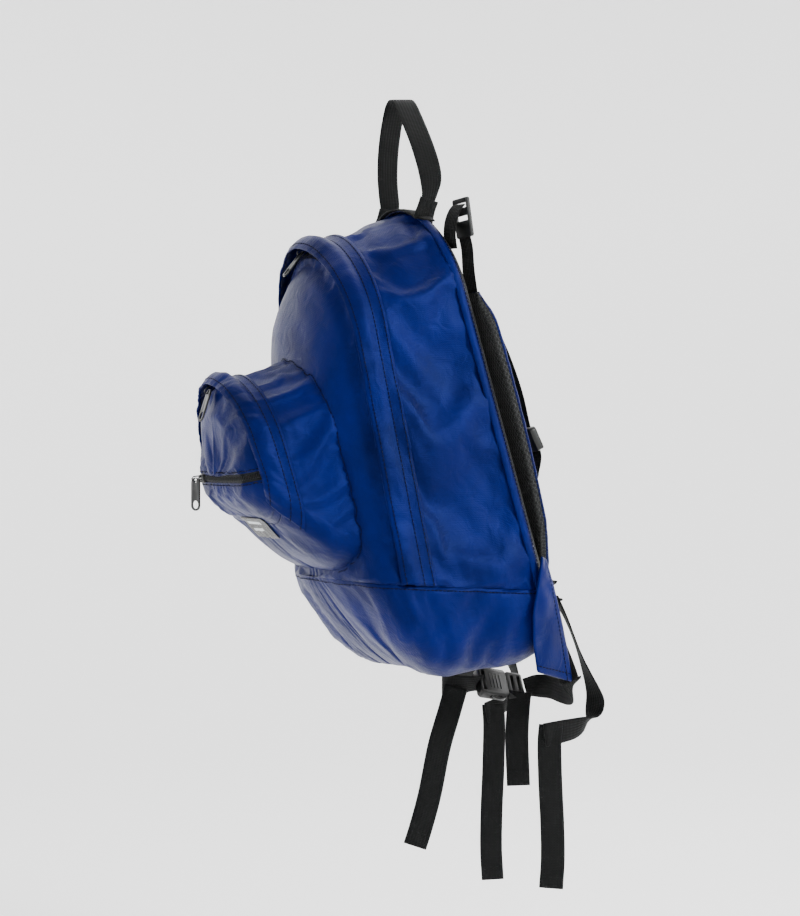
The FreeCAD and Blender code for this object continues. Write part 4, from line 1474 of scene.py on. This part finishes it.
# ======================================================================
# LOWER LADDER LOCKS AND THEIR WEBBING
# Each pad ends in a ladder lock. The webbing comes up from the wing, turns over the
# lock's bar, and its slack falls in a wide loop to a hemmed tail.
# ======================================================================
for side, sign in (("right", 1), ("left", -1)):
    lock = "strap_lock_" + side
    moulded("strap_lock_body_" + side, lock, lock, grey_nylon, 0.0008)
    ends = [hung(sign * x / 1000, 0.0215, 0.0478) for x in (73, 86, 99)]
    wire("strap_lock_lip_" + side, lock, grey_nylon, ends, 0.0014)
    loop = [
        (*placed(sign * 86, 9.4, 80), *X, 24),
        (*placed(sign * 86, 11.5, 72), *X, 25),
        (*placed(sign * 86, 17.5, 65.5), *X, 25),
        (*placed(sign * 86, 21.4, 68.0), *X, 25),
    ]
    webbing("strap_lock_keeper_" + side, "strap_" + side, loop, seed=11.0)
    low = placed(sign * 86, 13, 45.5)
    runs = [
        (low[0], low[1] + 1, low[2] + 9, *X, 25),
        (low[0], low[1], low[2] - 2, *X, 25),
        (low[0] + sign * 4, low[1] + 5, low[2] - 30, *X, 25),
        (sign * 98, 141, -585, 1, 0.3 * sign, 0, 25),
        (sign * 105, 144, -606, 1, 0.5 * sign, 0, 25),
    ]
    lower = webbing("wing_strip_" + side, None, runs, "lower_webbing_" + side, seed=12.0)[0]
    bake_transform(lower)
    y, z = low[1], low[2]
    foot = 0 if sign > 0 else 20
    slack = [
        (low[0], y + 4, z + 8, *X, 25),
        (low[0], y + 9, z + 1, 1, -0.15 * sign, 0, 25),
        (low[0], y + 19, z - 15, 1, -0.3 * sign, 0, 25),
        (low[0], y + 36, z - 52, 1, -0.3 * sign, 0, 25),
        (low[0], y + 53, z - 90, 1, 0.1 * sign, 0, 25),
        (low[0], y + 56, z - 108, 1, 0.4 * sign, 0.3, 25),
        (low[0], y + 49, z - 123, 0.7, 0.4 * sign, 0.8, 25),
        (low[0], y + 34, z - 131, 0.3, 0.2 * sign, 1, 25),
        (low[0], y + 16 + foot / 2, z - 134, 0.1, 0, 1, 25),
        (low[0] - 2 * sign, y - 4 + foot, z - 137, 0, 0, 1, 25),
    ]
    hang = webbing("slack_strip_" + side, None, slack, "slack_webbing_" + side, seed=13.0)[0]
    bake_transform(hang)
    drop = 170 if sign > 0 else 198
    tail = []
    shape = zip((0, 0.12, 0.35, 0.6, 0.82, 1.0), (0, 0.6, 1.4, 1.2, 0.2, -0.8))
    for i, (t, sway) in enumerate(shape):
        curl = 2.2 * sign * math.sin(i * 1.2)
        tail.append((low[0] + sign * (sway - 3), y + 4 + foot - curl, z - 127 - drop * t,
                     0.42, 0.907, 0, 25))
    body = "strap_tail_" + side
    frames = webbing("strap_end_" + side, body, tail, body, hem=0.013, seed=14.0 + sign)[1]
    bar_tack("strap_end_tack_" + side, body, frame_near(frames, 0.945), rows=1, length=0.02)

# ======================================================================
# WAIST BELT
# Plain webbing runs from each wing to a side-release buckle, which is closed. A short
# free end hangs at the plug and a long one at the socket.
# ======================================================================
near = [
    (104, 147, -604, 0.3, 0.3, 1, 25),
    (98, 151, -616, 0, 0, 1, 25),
    (80, 156, -621, 0, 0, 1, 25),
    (58, 159, -621, 0, 0.1, 1, 25),
    (36, 161, -620, 0, 0.1, 1, 25),
    (16, 157, -621, 0.3, 0.1, 1, 25),
    (6, 146, -623, 0.64, 0, 0.77, 25),
]
belt_right = webbing("belt_strip_right", None, near, "belt_webbing_right", seed=21.0)[0]
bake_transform(belt_right)
far = [
    (-104, 147, -604, -0.3, 0.3, 1, 25),
    (-98, 150, -616, 0, 0, 1, 25),
    (-86, 134, -621, 0, 0, 1, 25),
    (-66, 104, -622, 0, 0, 1, 25),
    (-42, 74, -621, 0, 0, 1, 25),
    (-22, 61, -620, 0, 0, 1, 25),
    (-8, 66, -619, 0.2, 0, 1, 25),
    (-1, 82, -617, 0.64, 0, 0.77, 25),
    (0, 96, -616, 0.64, 0, 0.77, 25),
]
webbing("belt_strip_left", "pack", far, "belt_webbing_left", seed=22.0)
moulded("buckle_socket", "belt_socket", "pack", black_acetal, 0.0011)
moulded("buckle_plug", "belt_plug", "belt_plug", black_acetal, 0.0008)
BUCKLE = (Matrix.Translation((0, 0.120, -0.620)) @ Matrix.Rotation(math.radians(-101), 4, "X")
          @ Matrix.Rotation(math.radians(50), 4, "Z"))
for number, z in enumerate((-0.004, -0.008, -0.012, -0.016)):
    for face in (1, -1):
        ends = [BUCKLE @ Vector((x, face * 0.0054, z)) for x in (-0.009, 0.0, 0.009)]
        wire(f"buckle_ridge_{number + 1}_{'front' if face > 0 else 'rear'}", "pack",
             black_acetal, ends, 0.0007)
for arm in (1, -1):
    bow = [
        BUCKLE @ Vector((arm * (0.0105 + 0.0068 * math.sin(math.pi * t)), 0, 0.006 - 0.024 * t))
        for t in (0, 0.15, 0.3, 0.45, 0.6, 0.75, 0.9)
    ]
    wire(f"buckle_arm_{'right' if arm > 0 else 'left'}", "belt_plug",
         black_acetal, bow, 0.0019)
short = []
for t, y in ((0, 3), (0.15, 1), (0.5, -1), (1, 1)):
    short.append((14, 133 + y, -626 - 101 * t, 0.42, 0.907, 0, 25))
frames = webbing("belt_end_right", "belt_tail_right", short, "belt_tail_right",
                 hem=0.012, seed=23.0)[1]
bar_tack("belt_end_tack_right", "belt_tail_right", frame_near(frames, 0.88), rows=1, length=0.02)
lean = math.radians(16)
long = []
for s, y in ((-16, 1), (12, 0), (50, -1.5), (100, 1.5), (135, 1), (157, -0.5)):
    place = (-2, 62 - math.sin(lean) * s + y, -634 - math.cos(lean) * s)
    long.append((*place, 0.42, 0.907 * math.cos(lean), -0.907 * math.sin(lean), 25))
frames = webbing("belt_end_left", "belt_tail_left", long, "belt_tail_left",
                 hem=0.013, seed=24.0)[1]
bar_tack("belt_end_tack_left", "belt_tail_left", frame_near(frames, 0.93), rows=1, length=0.02)

# ======================================================================
# ZIP SLIDERS AND PULLS
# Painted zinc sliders run on the three zips. Each has a wire bail over its top, which
# holds a flat pull with a thumb hole.
# ======================================================================
joints = frame["record"]["behaviour"]["joints"]
pins = {j["name"]: Vector(j["pos_m"]) for j in joints if "pos_m" in j}
for stem in ("main", "pocket_arc", "pocket_front"):
    slider = stem + "_slider"
    pull = stem + "_pull"
    moulded(slider + "_body", slider, slider, painted_zinc, 0.0005)
    moulded(pull + "_tab", pull, pull, painted_zinc, 0.0004)
    low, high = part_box(slider)
    middle = (low + high) / 2
    pin = pins[stem + "_pull_swing"]
    away = Vector((0, pin.y - middle.y, pin.z - middle.z)).normalized()
    rise = pointing(ACROSS.cross(away), Vector((0, 0, 1)))
    centre = Vector((pin.x, middle.y, middle.z))
    bail = [
        centre - rise * 0.0008,
        pin + away * 0.0012 - rise * 0.0006,
        pin + away * 0.0034 + rise * 0.0008,
        pin + away * 0.0036 + rise * 0.0030,
        pin + away * 0.0012 + rise * 0.0046,
        centre + rise * 0.0030,
    ]
    wire(stem + "_bail", slider, painted_zinc, bail, 0.0007)
